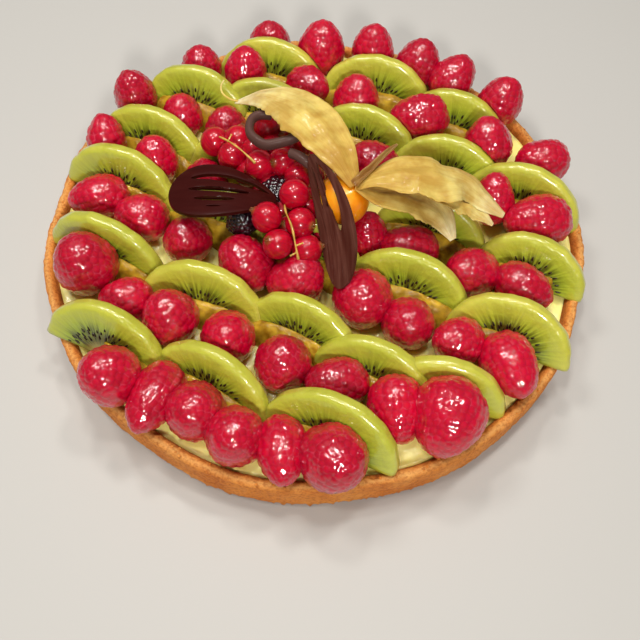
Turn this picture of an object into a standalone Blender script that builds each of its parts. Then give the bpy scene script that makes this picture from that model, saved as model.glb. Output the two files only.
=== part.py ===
"""Round fruit tart.

A shortcrust shell holds a bed of custard. Diagonal rows of raspberries lie on it, and behind
each row stand half slices of kiwi that lean back on the next one. In the middle are currants,
two dark berries, a physalis with its open husk, and two pierced chocolate leaves.

Sizes below are in millimetres unless their name says otherwise; the model is in metres.
The tart stands on z = 0 with the middle of its base at the origin.
"""

import math
from collections import namedtuple

import bmesh
import bpy
from mathutils import Matrix, Vector
from mathutils.bvhtree import BVHTree

MM = 0.001
GAP = 0.3  # air left between two pieces that touch
INFLATE = 0.34  # how far the faces of a cutting copy are moved out
SHARPEST = 1.4  # most that this move is multiplied by at a sharp corner
WELD = 0.001  # points nearer than this are one point
CUT_SNAP = 0.01  # a cutting plane takes points this near it as lying on it
CUT_WELD = 0.02  # and points of its rim nearer than this are one point
SHARP_EDGE = math.radians(40)  # edges that bend more than this are shaded sharp

# Shell and filling
RIM_RADIUS = 110.1
RIM_HEIGHT = 20.0
FOOT_RADIUS = 110.6
CUSTARD_LEVEL = 16.0
FLOOR_THICKNESS = 4.0
SHELL_SEGMENTS = 48
WALL_THICKNESS = 5.6  # where the wall meets the floor
WALL_LEAN = 1.2  # how much thinner it is at the rim
# The wall from its foot to its inner lip, as steps out from the rim's radius and up from its height
RIM_SECTION = [(0.8, -2.2), (-0.6, -0.3), (-2.4, 0.0), (-4.0, -1.4)]
FOOT_BEVEL = (1.2, 1.4)  # inward under the foot, and up
RIM_WAVE = 1.5  # how far the hand-pressed rim wanders in and out
CREST_WAVE = 0.6  # and up and down
WAVES = [(0.25, 7, 1.1), (0.45, 11, 1.9), (0.3, 12, 0.3)]  # share, waves in a turn, and shift of each
CREST_SHIFT = 2  # how far the wander up and down runs ahead of the one in and out, in radians

# The fruit lies in rows that run from the left back to the right front.
ROW_TURN = math.radians(-22.5)
ROW_PITCH = 32.5
FRONT_ROW = -95.0  # the front row's distance behind the middle
SLICE_SETBACK = 12.0  # a row's kiwi slices stand this far behind its raspberries

# Raspberries
BERRY_SIDES = 8
BERRY_RINGS = 5
BERRY_BUMP = 0.045
BERRY_TAPER = 0.17
BERRY_SINK = 0.88  # share of its half height that a raspberry stands above the custard

# Kiwi half slices
SLICE_THICKNESS = 6.5
SLICE_SQUASH = 0.92  # height of a half slice over its half width
SLICE_SEGMENTS = 20

# Chocolate leaves
LEAF_THICKNESS = 1.7
LEAF_SEGMENTS = 16
SLOT_WIDTH = 1.5
SLOT_PLACES = (0.27, 0.09, -0.09, -0.27)  # across the leaf, as a share of its width
SLOT_LENGTH = 0.62  # of a slot on the middle line, as a share of the leaf's length
SLOT_SHORTENING = 0.6  # how fast slots get shorter away from that line
SLOT_SHIFT = 0.12  # how far slots lie towards +X, as a share of the leaf's length
SLOT_BOW = 0.09  # how far a slot bows to the side, as a share of the leaf's width
SLOT_STEPS = 3
SLOT_BLUNTNESS = 0.12  # where on its half wave of width a slot starts and ends
CURL_THICKNESS = 2.0
CURL_HEIGHT = 5.0

Raspberry = namedtuple("Raspberry", "along across width length turn rise lift", defaults=[0])
Slice = namedtuple("Slice", "along across turn radius base tilt lean", defaults=[0.5, 0, 21])

# along and across are measured in the row's own frame. turn and rise give the way that the
# berry's tip points: turn from +X towards +Y, rise above the horizontal, in degrees.
RASPBERRY_ROWS = [
    [
        Raspberry(-37, -1, 22.5, 24, 200, 60, lift=3),
        Raspberry(-19, 0, 19, 30, -110, 10, lift=1),
        Raspberry(-3, 1, 22, 24, -100, 70, lift=1),
        Raspberry(14, -1, 22, 24, -90, 70, lift=1),
        Raspberry(31, 2, 19, 28.6, -85, 10, lift=1),
        Raspberry(49, 5.5, 25, 26, -60, 50, lift=1),
    ],
    [
        Raspberry(-71, 3, 25, 26, 180, 70, lift=2),
        Raspberry(-50, -2, 18, 22, 190, 10),
        Raspberry(-31, -2, 22, 23, 150, 75),
        Raspberry(-7, 0, 21, 22, -90, 60),
        Raspberry(16, 0, 22, 22, 90, 80),
        Raspberry(37, 2, 19, 25, 190, 5),
        Raspberry(61, 1, 21, 26, -80, -15, lift=1),
        Raspberry(78.5, 5, 27, 30, -110, -15, lift=1),
    ],
    [
        Raspberry(-86, 2, 19, 25, 195, 0),
        Raspberry(-65, 1, 20, 23, 170, 10),
        Raspberry(-43, 0, 20, 20, 90, 80),
        Raspberry(-16.5, -1, 22, 25, 140, 40),
        Raspberry(5.5, 1, 22, 24, 20, 50),
        Raspberry(32, 4, 24, 24, -90, 40),
        Raspberry(51.5, 3, 21, 21, -90, 60),
        Raspberry(71, 4, 19, 22, 200, 30, lift=1),
        Raspberry(92, 3, 21, 28, -70, 10, lift=1),
    ],
    [
        Raspberry(-98, -5, 17, 21, 100, 50, lift=4),
        Raspberry(-74, -5, 19, 22, 90, 70, lift=2),
        Raspberry(-51, -4, 19, 20, 90, 60),
        Raspberry(21, 1, 18, 21, 90, 60),
        Raspberry(38.5, 2.5, 20, 25, 180, 10),
        Raspberry(65, 3, 20, 24, 200, 40),
        Raspberry(86, 6, 18, 25, -25, -5, lift=1),
    ],
    [
        Raspberry(-101, -10, 19, 23, 120, 80, lift=2),
        Raspberry(-78, -9, 18, 20, 90, 70),
        Raspberry(-57, -7, 19, 20, 90, 60),
        Raspberry(-35, -4, 20, 22, 90, 70),
        Raspberry(-16, -2, 20, 23, 60, 60),
        Raspberry(9, 3, 19, 23, 0, 0, lift=2),
        Raspberry(30, 3, 20, 25, 0, 10, lift=1),
        Raspberry(61, 6, 18, 23, 90, 60, lift=3),
        Raspberry(81, 4, 22, 29, 190, 5, lift=2),
    ],
    [
        Raspberry(-85, -12, 19, 20, 90, 75),
        Raspberry(-64, -8, 19, 22, 90, 80, lift=3),
        Raspberry(-35, -3, 18, 22, -40, 20, lift=3),
        Raspberry(-13, 1, 21, 23, 60, 75),
        Raspberry(17, 1, 21, 27, 185, 0, lift=3),
        Raspberry(49, 0, 21, 24, 110, 65, lift=3),
        Raspberry(73, 4, 19, 24, 185, 0, lift=2),
    ],
    [
        Raspberry(-64, -17, 20, 21, 90, 75),
        Raspberry(-40, -11, 22, 26, 90, 80),
        Raspberry(-18, -2, 20, 24, 90, 80, lift=2),
        Raspberry(4, 0, 20, 23, 45, 65, lift=2),
        Raspberry(21.5, -1, 20, 24, 40, 40, lift=1),
        Raspberry(46, -5, 20, 23, 40, 65, lift=2),
    ],
]

# Neighbours that are pressed into one lump: the row, and the first one's place in it.
PRESSED_PAIRS = [
    *((0, 0), (0, 2), (0, 4), (1, 1), (1, 4), (2, 0), (2, 3)),
    *((2, 5), (2, 7), (3, 3), (3, 5), (4, 3), (4, 5), (4, 7), (6, 3)),
]

# Each inner list is one lump of slices that overlap. turn is from the row's direction, base is
# the height of the cut edge's middle over the custard, and a positive tilt lifts the left end.
KIWI_ROWS = [
    [
        [Slice(-47, -2, 5, 24.8, 3, 5, 23)],
        [Slice(-4, 1, -4, 25), Slice(44, 1.5, 0, 26.5, 3, -3, 23)],
    ],
    [
        [
            Slice(-69, 1.5, 3, 25.5, 2, 3, 10),
            Slice(-24, -2.5, 10, 26),
            Slice(17, 1.5, -3, 25),
            Slice(48, -2.5, 2, 25),
            Slice(74, 2.5, 13, 24, 1.5, -1),
        ],
    ],
    [
        [Slice(-82, 0, 6, 25.5, 1, 3, 18)],
        [Slice(-38, 1, 4, 25), Slice(3, 3, 4, 24)],
        [Slice(45, 5, 6, 26)],
        [Slice(88, 2, 1, 25.3, 2, -4, 26)],
    ],
    [
        [Slice(-83, -8, 7, 25.3, 0, 3, 20), Slice(-42, -3, 8, 24)],
        [Slice(43, 3, 4, 24), Slice(86, 2, 1, 23.5, 1.5, -3, 24)],
    ],
    [
        [Slice(-76, -13, 8, 25.2, 2, 3, 22), Slice(-46, -5, 14, 25.5)],
        [Slice(-1, 3, 3, 25.2, -1.5), Slice(38, 3, 7, 25.6, -1.5), Slice(72, 2, 2, 25.9, 0, -3, 16)],
    ],
    [
        [Slice(-56, -11, 12, 26, -3, lean=21)],
        [Slice(-8, 0, 12, 26.5, -2, lean=19)],
        [Slice(31, -2, 2, 24.8, -2.5)],
    ],
]

# Middle of the tart: places are x, y, z of each thing's middle.
PHYSALIS_PLACE = (10, 0, 42)
PHYSALIS_RADIUS = 10.5
PHYSALIS_SIDES = 12
PHYSALIS_RINGS = 8
CURRANT_RADIUS = 6.0
HEAP_MIDDLE = (-17, 4, 27)
HEAP_CORE = 9.0
HEAP_SIDES = 20
HEAP_RINGS = 11
HEAP_FLOOR = 30.0  # the heap lies on top of the other fruit
CURRANT_PLACES = [
    (-19, -11, 42),
    (-9, -1, 44),
    (-6, -12, 41),
    (-14, -21, 39),
    (-3, -20, 35),
    (-15, 17, 41),
    (-24, 15, 41),
    (-44, 30, 36),
    (-36, 22, 37),
    (-34, 30, 38),
    (-27, 25, 38),
    (-8, 11, 40),
    (-23, 38, 37),
    (-4, 1, 37),
    (-10, 25, 40),
]
DARK_BERRIES = [((-29, -7.5, 35), 14, 15), ((-17, 6, 35.5), 13, 14)]
HUSK_THICKNESS = 0.8
HUSK_KNOT = (14, -2, 53)
HUSK_KNOT_RADIUS = 2.4
KNOT_SIDES = 6
KNOT_RINGS = 4

Sepal = namedtuple("Sepal", "middle widths cup")
# A sepal's middle line runs from the knot to its tip, with its half width at each point.
SEPALS = [
    Sepal(
        [
            *(HUSK_KNOT, (8.5, 6.5, 58.5), (1.5, 16, 60.5), (-7, 25, 60.8)),
            *((-15, 32.5, 59), (-24, 38, 55.5), (-36, 41.5, 47.5)),
        ],
        [2.2, 6.5, 10, 11.8, 10.2, 6, 0.9],
        -1.6,
    ),
    Sepal(
        [
            *(HUSK_KNOT, (21, 0, 56.5), (29, 1, 58.6), (38, 1, 58.8), (47.5, 1, 56.5)),
            *((56, 2.5, 52.5), (64, 0, 46.5), (72.5, -3.5, 42)),
        ],
        [2, 4.4, 8.4, 10.2, 10.2, 7.4, 5, 1.6],
        -2.0,
    ),
    Sepal(
        [
            *(HUSK_KNOT, (22, -2.5, 50.5), (31, -2, 48.5), (41, -3, 46)),
            *((48, -5.5, 42), (53.5, -12.5, 36.5)),
        ],
        [1.8, 5, 7.8, 8.6, 6.6, 1.5],
        -1.5,
    ),
    Sepal([HUSK_KNOT, (23, 7, 58), (29, 13, 60)], [1.6, 1.6, 0.8], 0.0),
]

# A leaf lies along its own X. Its taper is how much narrower it is towards +X, and wider towards -X.
FLAT_LEAF = dict(
    place=(-37, -1, 41), length=42, width=26, taper=-0.4, turn=178, rise=0, roll=8, bend=3
)
UPRIGHT_LEAF = dict(
    place=(3.5, -14.2, 46), length=52, width=17.5, taper=0.18, turn=108, rise=26, roll=-52, bend=-3
)
CURL_PATH = [
    (-20, 31, 52),
    (-25, 31, 52),
    (-28, 28, 52),
    (-28, 22, 52),
    (-25, 18, 52),
    (-21, 16, 52),
    (-15, 17, 53),
    (-9, 17, 54),
    (-4, 12, 55),
    (-2, 6, 55),
]


def clear_scene():
    for obj in list(bpy.data.objects):
        bpy.data.objects.remove(obj)


def surface(name, colour, roughness, metallic=0.0):
    """A plain Principled material of one colour."""
    material = bpy.data.materials.new(name)
    material.use_nodes = True
    shader = material.node_tree.nodes["Principled BSDF"]
    shader.inputs["Base Color"].default_value = (*colour, 1)
    shader.inputs["Roughness"].default_value = roughness
    shader.inputs["Metallic"].default_value = metallic
    return material


# ---- Shapes are made in millimetres, and become metres when they become objects. ----


def make_node(name, shape, material, parent, placement=None):
    """Turns a finished shape into an object, with its mesh in its own frame."""
    placement = placement or Matrix.Identity(4)
    shape.transform(placement.inverted())
    shape.transform(Matrix.Scale(MM, 4))
    mesh = bpy.data.meshes.new(name)
    shape.to_mesh(mesh)
    mesh.shade_smooth()
    mesh.set_sharp_from_angle(angle=SHARP_EDGE)
    mesh.materials.append(material)
    obj = bpy.data.objects.new(name, mesh)
    bpy.context.scene.collection.objects.link(obj)
    obj.parent = parent
    obj.matrix_world = Matrix.LocRotScale(placement.translation * MM, placement.to_quaternion(), None)
    return obj


def face_out(shape):
    """Turns every face of a closed shape to point out of it."""
    bmesh.ops.recalc_face_normals(shape, faces=shape.faces)
    if shape.calc_volume(signed=True) < 0:
        bmesh.ops.reverse_faces(shape, faces=shape.faces)
    return shape


def drop_flaps(shape):
    """Removes faces that lie back to back on the same corners."""
    same_corners = {}
    for face in shape.faces:
        same_corners.setdefault(frozenset(face.verts), []).append(face)
    flaps = [face for faces in same_corners.values() if len(faces) == 2 for face in faces]
    bmesh.ops.delete(shape, geom=flaps, context="FACES")


def tidy(shape):
    """Welds what a cut left on top of itself and keeps the largest body."""
    bmesh.ops.remove_doubles(shape, verts=shape.verts, dist=WELD)
    bmesh.ops.triangulate(shape, faces=[f for f in shape.faces if len(f.verts) > 3])
    drop_flaps(shape)
    left = set(shape.verts)
    bodies = []
    while left:
        body, edge = set(), [left.pop()]
        while edge:
            vert = edge.pop()
            body.add(vert)
            near = {e.other_vert(vert) for e in vert.link_edges} & left
            left -= near
            edge.extend(near)
        bodies.append(body)
    largest = max(bodies, key=spread)
    stray = [v for v in shape.verts if v not in largest]
    bmesh.ops.delete(shape, geom=stray, context="VERTS")
    return face_out(shape)


def spread(verts):
    """Volume of the box round some points."""
    size = [max(v.co[i] for v in verts) - min(v.co[i] for v in verts) for i in range(3)]
    return size[0] * size[1] * size[2]


def combine(shape, other, operation):
    """shape with other taken away or added by an exact Boolean; shape is used up."""
    objects = []
    for each in (shape, other):
        mesh = bpy.data.meshes.new("operand")
        each.to_mesh(mesh)
        objects.append(bpy.data.objects.new("operand", mesh))
        bpy.context.scene.collection.objects.link(objects[-1])
    modifier = objects[0].modifiers.new("combine", "BOOLEAN")
    modifier.operation = operation
    modifier.solver = "EXACT"
    modifier.object = objects[1]
    bpy.context.view_layer.update()
    graph = bpy.context.evaluated_depsgraph_get()
    result = objects[0].evaluated_get(graph).to_mesh()
    shape.clear()
    shape.from_mesh(result)
    for obj in objects:
        mesh = obj.data
        bpy.data.objects.remove(obj)
        bpy.data.meshes.remove(mesh)
    return tidy(shape)


def touches(shape, other):
    return bool(BVHTree.FromBMesh(shape).overlap(BVHTree.FromBMesh(other)))


def swollen(shape):
    """A copy of the shape, grown by a little more than the gap."""
    copy = shape.copy()
    copy.normal_update()
    moves = [v.normal * INFLATE * min(v.calc_shell_factor(), SHARPEST) for v in copy.verts]
    for vert, move in zip(copy.verts, moves):
        vert.co += move
    return copy


def carve(shape, others):
    """Cuts the room that the others take, and the gap round them, out of the shape."""
    for other in others:
        grown = swollen(other)
        if touches(shape, grown):
            combine(shape, grown, "DIFFERENCE")
        grown.free()
    return shape


def slice_off(shape, point, normal):
    """Cuts off what lies beyond a plane and closes the cut with a flat face."""
    geometry = shape.verts[:] + shape.edges[:] + shape.faces[:]
    bmesh.ops.bisect_plane(
        shape, geom=geometry, dist=CUT_SNAP, plane_co=point, plane_no=normal, clear_outer=True
    )
    rim = [e for e in shape.edges if e.is_boundary]
    if rim:
        bmesh.ops.holes_fill(shape, edges=rim, sides=0)
    bmesh.ops.remove_doubles(shape, verts=shape.verts, dist=CUT_WELD)
    return face_out(shape)


def press_against(shape, other):
    """Flattens the shape where it would enter a convex neighbour, which keeps its own form."""
    if not touches(shape, other):
        return
    best = None
    for face in other.faces:
        reach = min((v.co - face.verts[0].co).dot(face.normal) for v in shape.verts)
        if best is None or reach > best[0]:
            best = (reach, face.verts[0].co + face.normal * GAP, face.normal.copy())
    slice_off(shape, best[1], -best[2])


def press_together(first, second, middles):
    """Flattens two soft berries against each other on a plane between them."""
    if not touches(first, second):
        return
    way = (middles[1] - middles[0]).normalized()
    near = max(v.co.dot(way) for v in first.verts)
    far = min(v.co.dot(way) for v in second.verts)
    meeting = way * (near + far) / 2
    slice_off(first, meeting - way * GAP / 2, way)
    slice_off(second, meeting + way * GAP / 2, -way)


# ---- Shell and filling ----


def wave(angle):
    """The rim's slow, uneven wander, from -1 to 1."""
    return sum(share * math.sin(waves * angle + shift) for share, waves, shift in WAVES)


def turned(profile):
    """A body turned round Z from (radius, height) pairs that run from the axis back to it."""
    shape = bmesh.new()
    rings = []
    for radius, height in profile:
        if radius == 0:
            rings.append([shape.verts.new((0, 0, height))])
            continue
        ring = []
        for i in range(SHELL_SEGMENTS):
            angle = 2 * math.pi * i / SHELL_SEGMENTS
            out = radius + RIM_WAVE * wave(angle)
            lift = CREST_WAVE * wave(angle + CREST_SHIFT) if height > CUSTARD_LEVEL else 0
            ring.append(shape.verts.new((out * math.cos(angle), out * math.sin(angle), height + lift)))
        rings.append(ring)
    for low, high in zip(rings, rings[1:]):
        for i in range(SHELL_SEGMENTS):
            j = (i + 1) % SHELL_SEGMENTS
            corners = [low[i % len(low)], low[j % len(low)], high[j % len(high)], high[i % len(high)]]
            shape.faces.new(dict.fromkeys(corners))
    return face_out(shape)


def inner_radius(height):
    """The shell's inner wall leans out a little towards the rim."""
    share = (height - FLOOR_THICKNESS) / (RIM_HEIGHT - FLOOR_THICKNESS)
    return RIM_RADIUS - WALL_THICKNESS + WALL_LEAN * share


def crust_shape():
    profile = [
        (0, 0),
        (FOOT_RADIUS - FOOT_BEVEL[0], 0),
        (FOOT_RADIUS, FOOT_BEVEL[1]),
        *((RIM_RADIUS + out, RIM_HEIGHT + up) for out, up in RIM_SECTION),
        (inner_radius(CUSTARD_LEVEL), CUSTARD_LEVEL),
        (inner_radius(FLOOR_THICKNESS), FLOOR_THICKNESS),
        (0, FLOOR_THICKNESS),
    ]
    return turned(profile)


def custard_shape():
    bottom = FLOOR_THICKNESS + GAP
    return turned(
        [
            (0, bottom),
            (inner_radius(bottom) - GAP, bottom),
            (inner_radius(CUSTARD_LEVEL) - GAP, CUSTARD_LEVEL),
            (0, CUSTARD_LEVEL),
        ]
    )


# ---- Fruit ----


def row_point(line, along, across, height):
    """A point of the row frame, as x, y, z of the tart."""
    point = Vector((along, line + across, height))
    point.rotate(Matrix.Rotation(ROW_TURN, 3, "Z"))
    return point


def berry_shape(width, length, sides=BERRY_SIDES, rings=BERRY_RINGS):
    """An egg-shaped berry with its tip on +Z and drupelets as alternating bumps."""
    shape = bmesh.new()
    bmesh.ops.create_uvsphere(shape, u_segments=sides, v_segments=rings, radius=1)
    for vert in shape.verts:
        x, y, z = vert.co
        ring = round(math.acos(max(-1, min(1, z))) / math.pi * rings)
        side = round(math.atan2(y, x) / (2 * math.pi) * sides)
        bump = 1 + BERRY_BUMP * (-1) ** (ring + side)
        round_part = width / 2 * (1 - BERRY_TAPER * z) * bump
        vert.co = (x * round_part, y * round_part, z * length / 2)
    return shape


def tip_direction(turn, rise):
    turn, rise = math.radians(turn), math.radians(rise)
    return Vector((math.cos(rise) * math.cos(turn), math.cos(rise) * math.sin(turn), math.sin(rise)))


def raspberry_placement(row, berry):
    rise = math.radians(berry.rise)
    half_height = math.hypot(berry.length * math.sin(rise), berry.width * math.cos(rise)) / 2
    height = CUSTARD_LEVEL + BERRY_SINK * half_height + berry.lift
    middle = row_point(FRONT_ROW + row * ROW_PITCH, berry.along, berry.across, height)
    turned_to = tip_direction(berry.turn, berry.rise).to_track_quat("Z", "Y")
    return Matrix.LocRotScale(middle, turned_to, None)


def rest_on_custard(shape):
    slice_off(shape, Vector((0, 0, CUSTARD_LEVEL + GAP)), Vector((0, 0, -1)))


def slice_shape(radius):
    """A half slice that stands on its cut edge, with its seeded face towards -Y."""
    shape = bmesh.new()
    bmesh.ops.create_circle(shape, cap_ends=True, segments=SLICE_SEGMENTS, radius=radius)
    bmesh.ops.scale(shape, vec=(1, SLICE_SQUASH, 1), verts=shape.verts)
    geometry = shape.verts[:] + shape.edges[:] + shape.faces[:]
    bmesh.ops.bisect_plane(shape, geom=geometry, plane_co=(0, 0, 0), plane_no=(0, 1, 0), clear_inner=True)
    extruded = bmesh.ops.extrude_face_region(shape, geom=shape.faces[:])["geom"]
    moved = [v for v in extruded if isinstance(v, bmesh.types.BMVert)]
    bmesh.ops.translate(shape, vec=(0, 0, SLICE_THICKNESS), verts=moved)
    bmesh.ops.translate(shape, vec=(0, 0, -SLICE_THICKNESS / 2), verts=shape.verts)
    bmesh.ops.rotate(shape, cent=(0, 0, 0), matrix=Matrix.Rotation(math.pi / 2, 3, "X"), verts=shape.verts)
    return face_out(shape)


def placed(shape, placement):
    shape.transform(placement)
    shape.normal_update()
    return shape


def slice_placement(row, piece):
    line = FRONT_ROW + row * ROW_PITCH + SLICE_SETBACK
    middle = row_point(line, piece.along, piece.across, CUSTARD_LEVEL + piece.base)
    return (
        Matrix.Translation(middle)
        @ Matrix.Rotation(ROW_TURN + math.radians(piece.turn), 4, "Z")
        @ Matrix.Rotation(-math.radians(piece.lean), 4, "X")
        @ Matrix.Rotation(math.radians(piece.tilt), 4, "Y")
    )


def kiwi_lump(row, pieces):
    lump = None
    for piece in pieces:
        shape = placed(slice_shape(piece.radius), slice_placement(row, piece))
        rest_on_custard(shape)
        if lump is None:
            lump = shape
        else:
            combine(lump, shape, "UNION")
            shape.free()
    return lump


def ball_shape(radius, sides, rings):
    shape = bmesh.new()
    bmesh.ops.create_uvsphere(shape, u_segments=sides, v_segments=rings, radius=radius)
    return shape


def heap_shape():
    """One lumpy solid out to the outer skin of the currants, as seen from the heap's middle."""
    middle = Vector(HEAP_MIDDLE)
    shape = bmesh.new()
    bmesh.ops.create_uvsphere(shape, u_segments=HEAP_SIDES, v_segments=HEAP_RINGS, radius=1)
    for vert in shape.verts:
        way = vert.co.normalized()
        reach = HEAP_CORE
        for place in CURRANT_PLACES:
            to_ball = Vector(place) - middle
            along = to_ball.dot(way)
            beside = to_ball.length_squared - along * along
            if along > 0 and beside < CURRANT_RADIUS**2:
                reach = max(reach, along + math.sqrt(CURRANT_RADIUS**2 - beside))
        vert.co = middle + way * reach
    return shape


# ---- Husk and chocolate ----


def ribbon(points, across, half_widths, thickness, cup=None):
    """A closed strip along points. across gives its width's direction at each point, and a cup
    adds a middle line that its two edges lie this much above, or below if it is negative."""
    shape = bmesh.new()
    columns = (-1, 1) if cup is None else (-1, 0, 1)
    last = 2 * len(columns) - 1
    loops = []
    for i, (point, side, half) in enumerate(zip(points, across, half_widths)):
        before, after = points[max(i - 1, 0)], points[min(i + 1, len(points) - 1)]
        up = (after - before).cross(side).normalized()
        loop = []
        for level in (0.5, -0.5):
            row = []
            for step in columns:
                raised = (cup or 0) * abs(step) * half / max(half_widths)
                row.append(point + side * half * step + up * (thickness * level + raised))
            loop.extend(row if level > 0 else reversed(row))
        loops.append([shape.verts.new(corner) for corner in loop])
    for first, second in zip(loops, loops[1:]):
        for i in range(len(first)):
            j = (i + 1) % len(first)
            shape.faces.new((first[i], first[j], second[j], second[i]))
    for end in (loops[0], loops[-1]):
        for i in range(len(columns) - 1):
            shape.faces.new((end[i], end[i + 1], end[last - i - 1], end[last - i]))
    return face_out(shape)


def sepal_shape(sepal):
    points = [Vector(p) for p in sepal.middle]
    across = []
    for i in range(len(points)):
        way = points[min(i + 1, len(points) - 1)] - points[max(i - 1, 0)]
        across.append(way.cross(Vector((0, 0, 1))).normalized())
    return ribbon(points, across, sepal.widths, HUSK_THICKNESS, sepal.cup)


def husk_shape():
    """The open husk: papery sepals that spread from the knot on top of the fruit."""
    husk = ball_shape(HUSK_KNOT_RADIUS, KNOT_SIDES, KNOT_RINGS)
    bmesh.ops.translate(husk, vec=HUSK_KNOT, verts=husk.verts)
    for sepal in SEPALS:
        shape = sepal_shape(sepal)
        combine(husk, shape, "UNION")
        shape.free()
    return husk


def slot_cutter(length, bow, at):
    """A curved bar that cuts one slot into a leaf: it runs along X and bows towards +Y."""
    shares = [i / SLOT_STEPS for i in range(SLOT_STEPS + 1)]
    points = [
        Vector((at[0] + length * (t - 0.5), at[1] + bow * math.sin(math.pi * t), 0)) for t in shares
    ]
    across = [Vector((0, 1, 0))] * len(points)
    swell = [SLOT_BLUNTNESS + (1 - 2 * SLOT_BLUNTNESS) * t for t in shares]
    half = [SLOT_WIDTH / 2 * math.sin(math.pi * t) for t in swell]
    return ribbon(points, across, half, LEAF_THICKNESS * 4)


def leaf_shape(length, width, taper, bend, pierced):
    """A chocolate leaf along X, its solid end at -X and its slots, if pierced, towards +X."""
    shape = bmesh.new()
    bmesh.ops.create_circle(shape, cap_ends=True, segments=LEAF_SEGMENTS, radius=1)
    for vert in shape.verts:
        x, y, _ = vert.co
        vert.co = (x * length / 2, y * width / 2 * (1 - taper * x), 0)
    geometry = shape.verts[:] + shape.edges[:] + shape.faces[:]
    bmesh.ops.bisect_plane(shape, geom=geometry, plane_co=(0, 0, 0), plane_no=(1, 0, 0))
    extruded = bmesh.ops.extrude_face_region(shape, geom=shape.faces[:])["geom"]
    moved = [v for v in extruded if isinstance(v, bmesh.types.BMVert)]
    bmesh.ops.translate(shape, vec=(0, 0, LEAF_THICKNESS), verts=moved)
    bmesh.ops.recalc_face_normals(shape, faces=shape.faces)
    for share in SLOT_PLACES if pierced else ():
        reach = SLOT_LENGTH - abs(share) * SLOT_SHORTENING
        cutter = slot_cutter(length * reach, SLOT_BOW * width, (length * SLOT_SHIFT, width * share))
        combine(shape, cutter, "DIFFERENCE")
        cutter.free()
    for vert in shape.verts:
        vert.co.z += bend * (1 - (2 * vert.co.x / length) ** 2)
    return shape


def leaf_placement(place, turn, rise, roll):
    return (
        Matrix.Translation(place)
        @ Matrix.Rotation(math.radians(turn), 4, "Z")
        @ Matrix.Rotation(-math.radians(rise), 4, "Y")
        @ Matrix.Rotation(math.radians(roll), 4, "X")
    )


def placed_leaf(place, length, width, taper, turn, rise, roll, bend, pierced=True):
    leaf = leaf_shape(length, width, taper, bend, pierced)
    return placed(leaf, leaf_placement(place, turn, rise, roll))


def upright_leaf_shape(pierced=True):
    """The standing leaf with the thin curl that springs from its top."""
    shape = placed_leaf(**UPRIGHT_LEAF, pierced=pierced)
    points = [Vector(p) for p in CURL_PATH]
    across = [Vector((0, 0, 1))] * len(points)
    curl = ribbon(points, across, [CURL_HEIGHT / 2] * len(points), CURL_THICKNESS)
    combine(shape, curl, "UNION")
    curl.free()
    return shape


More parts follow.
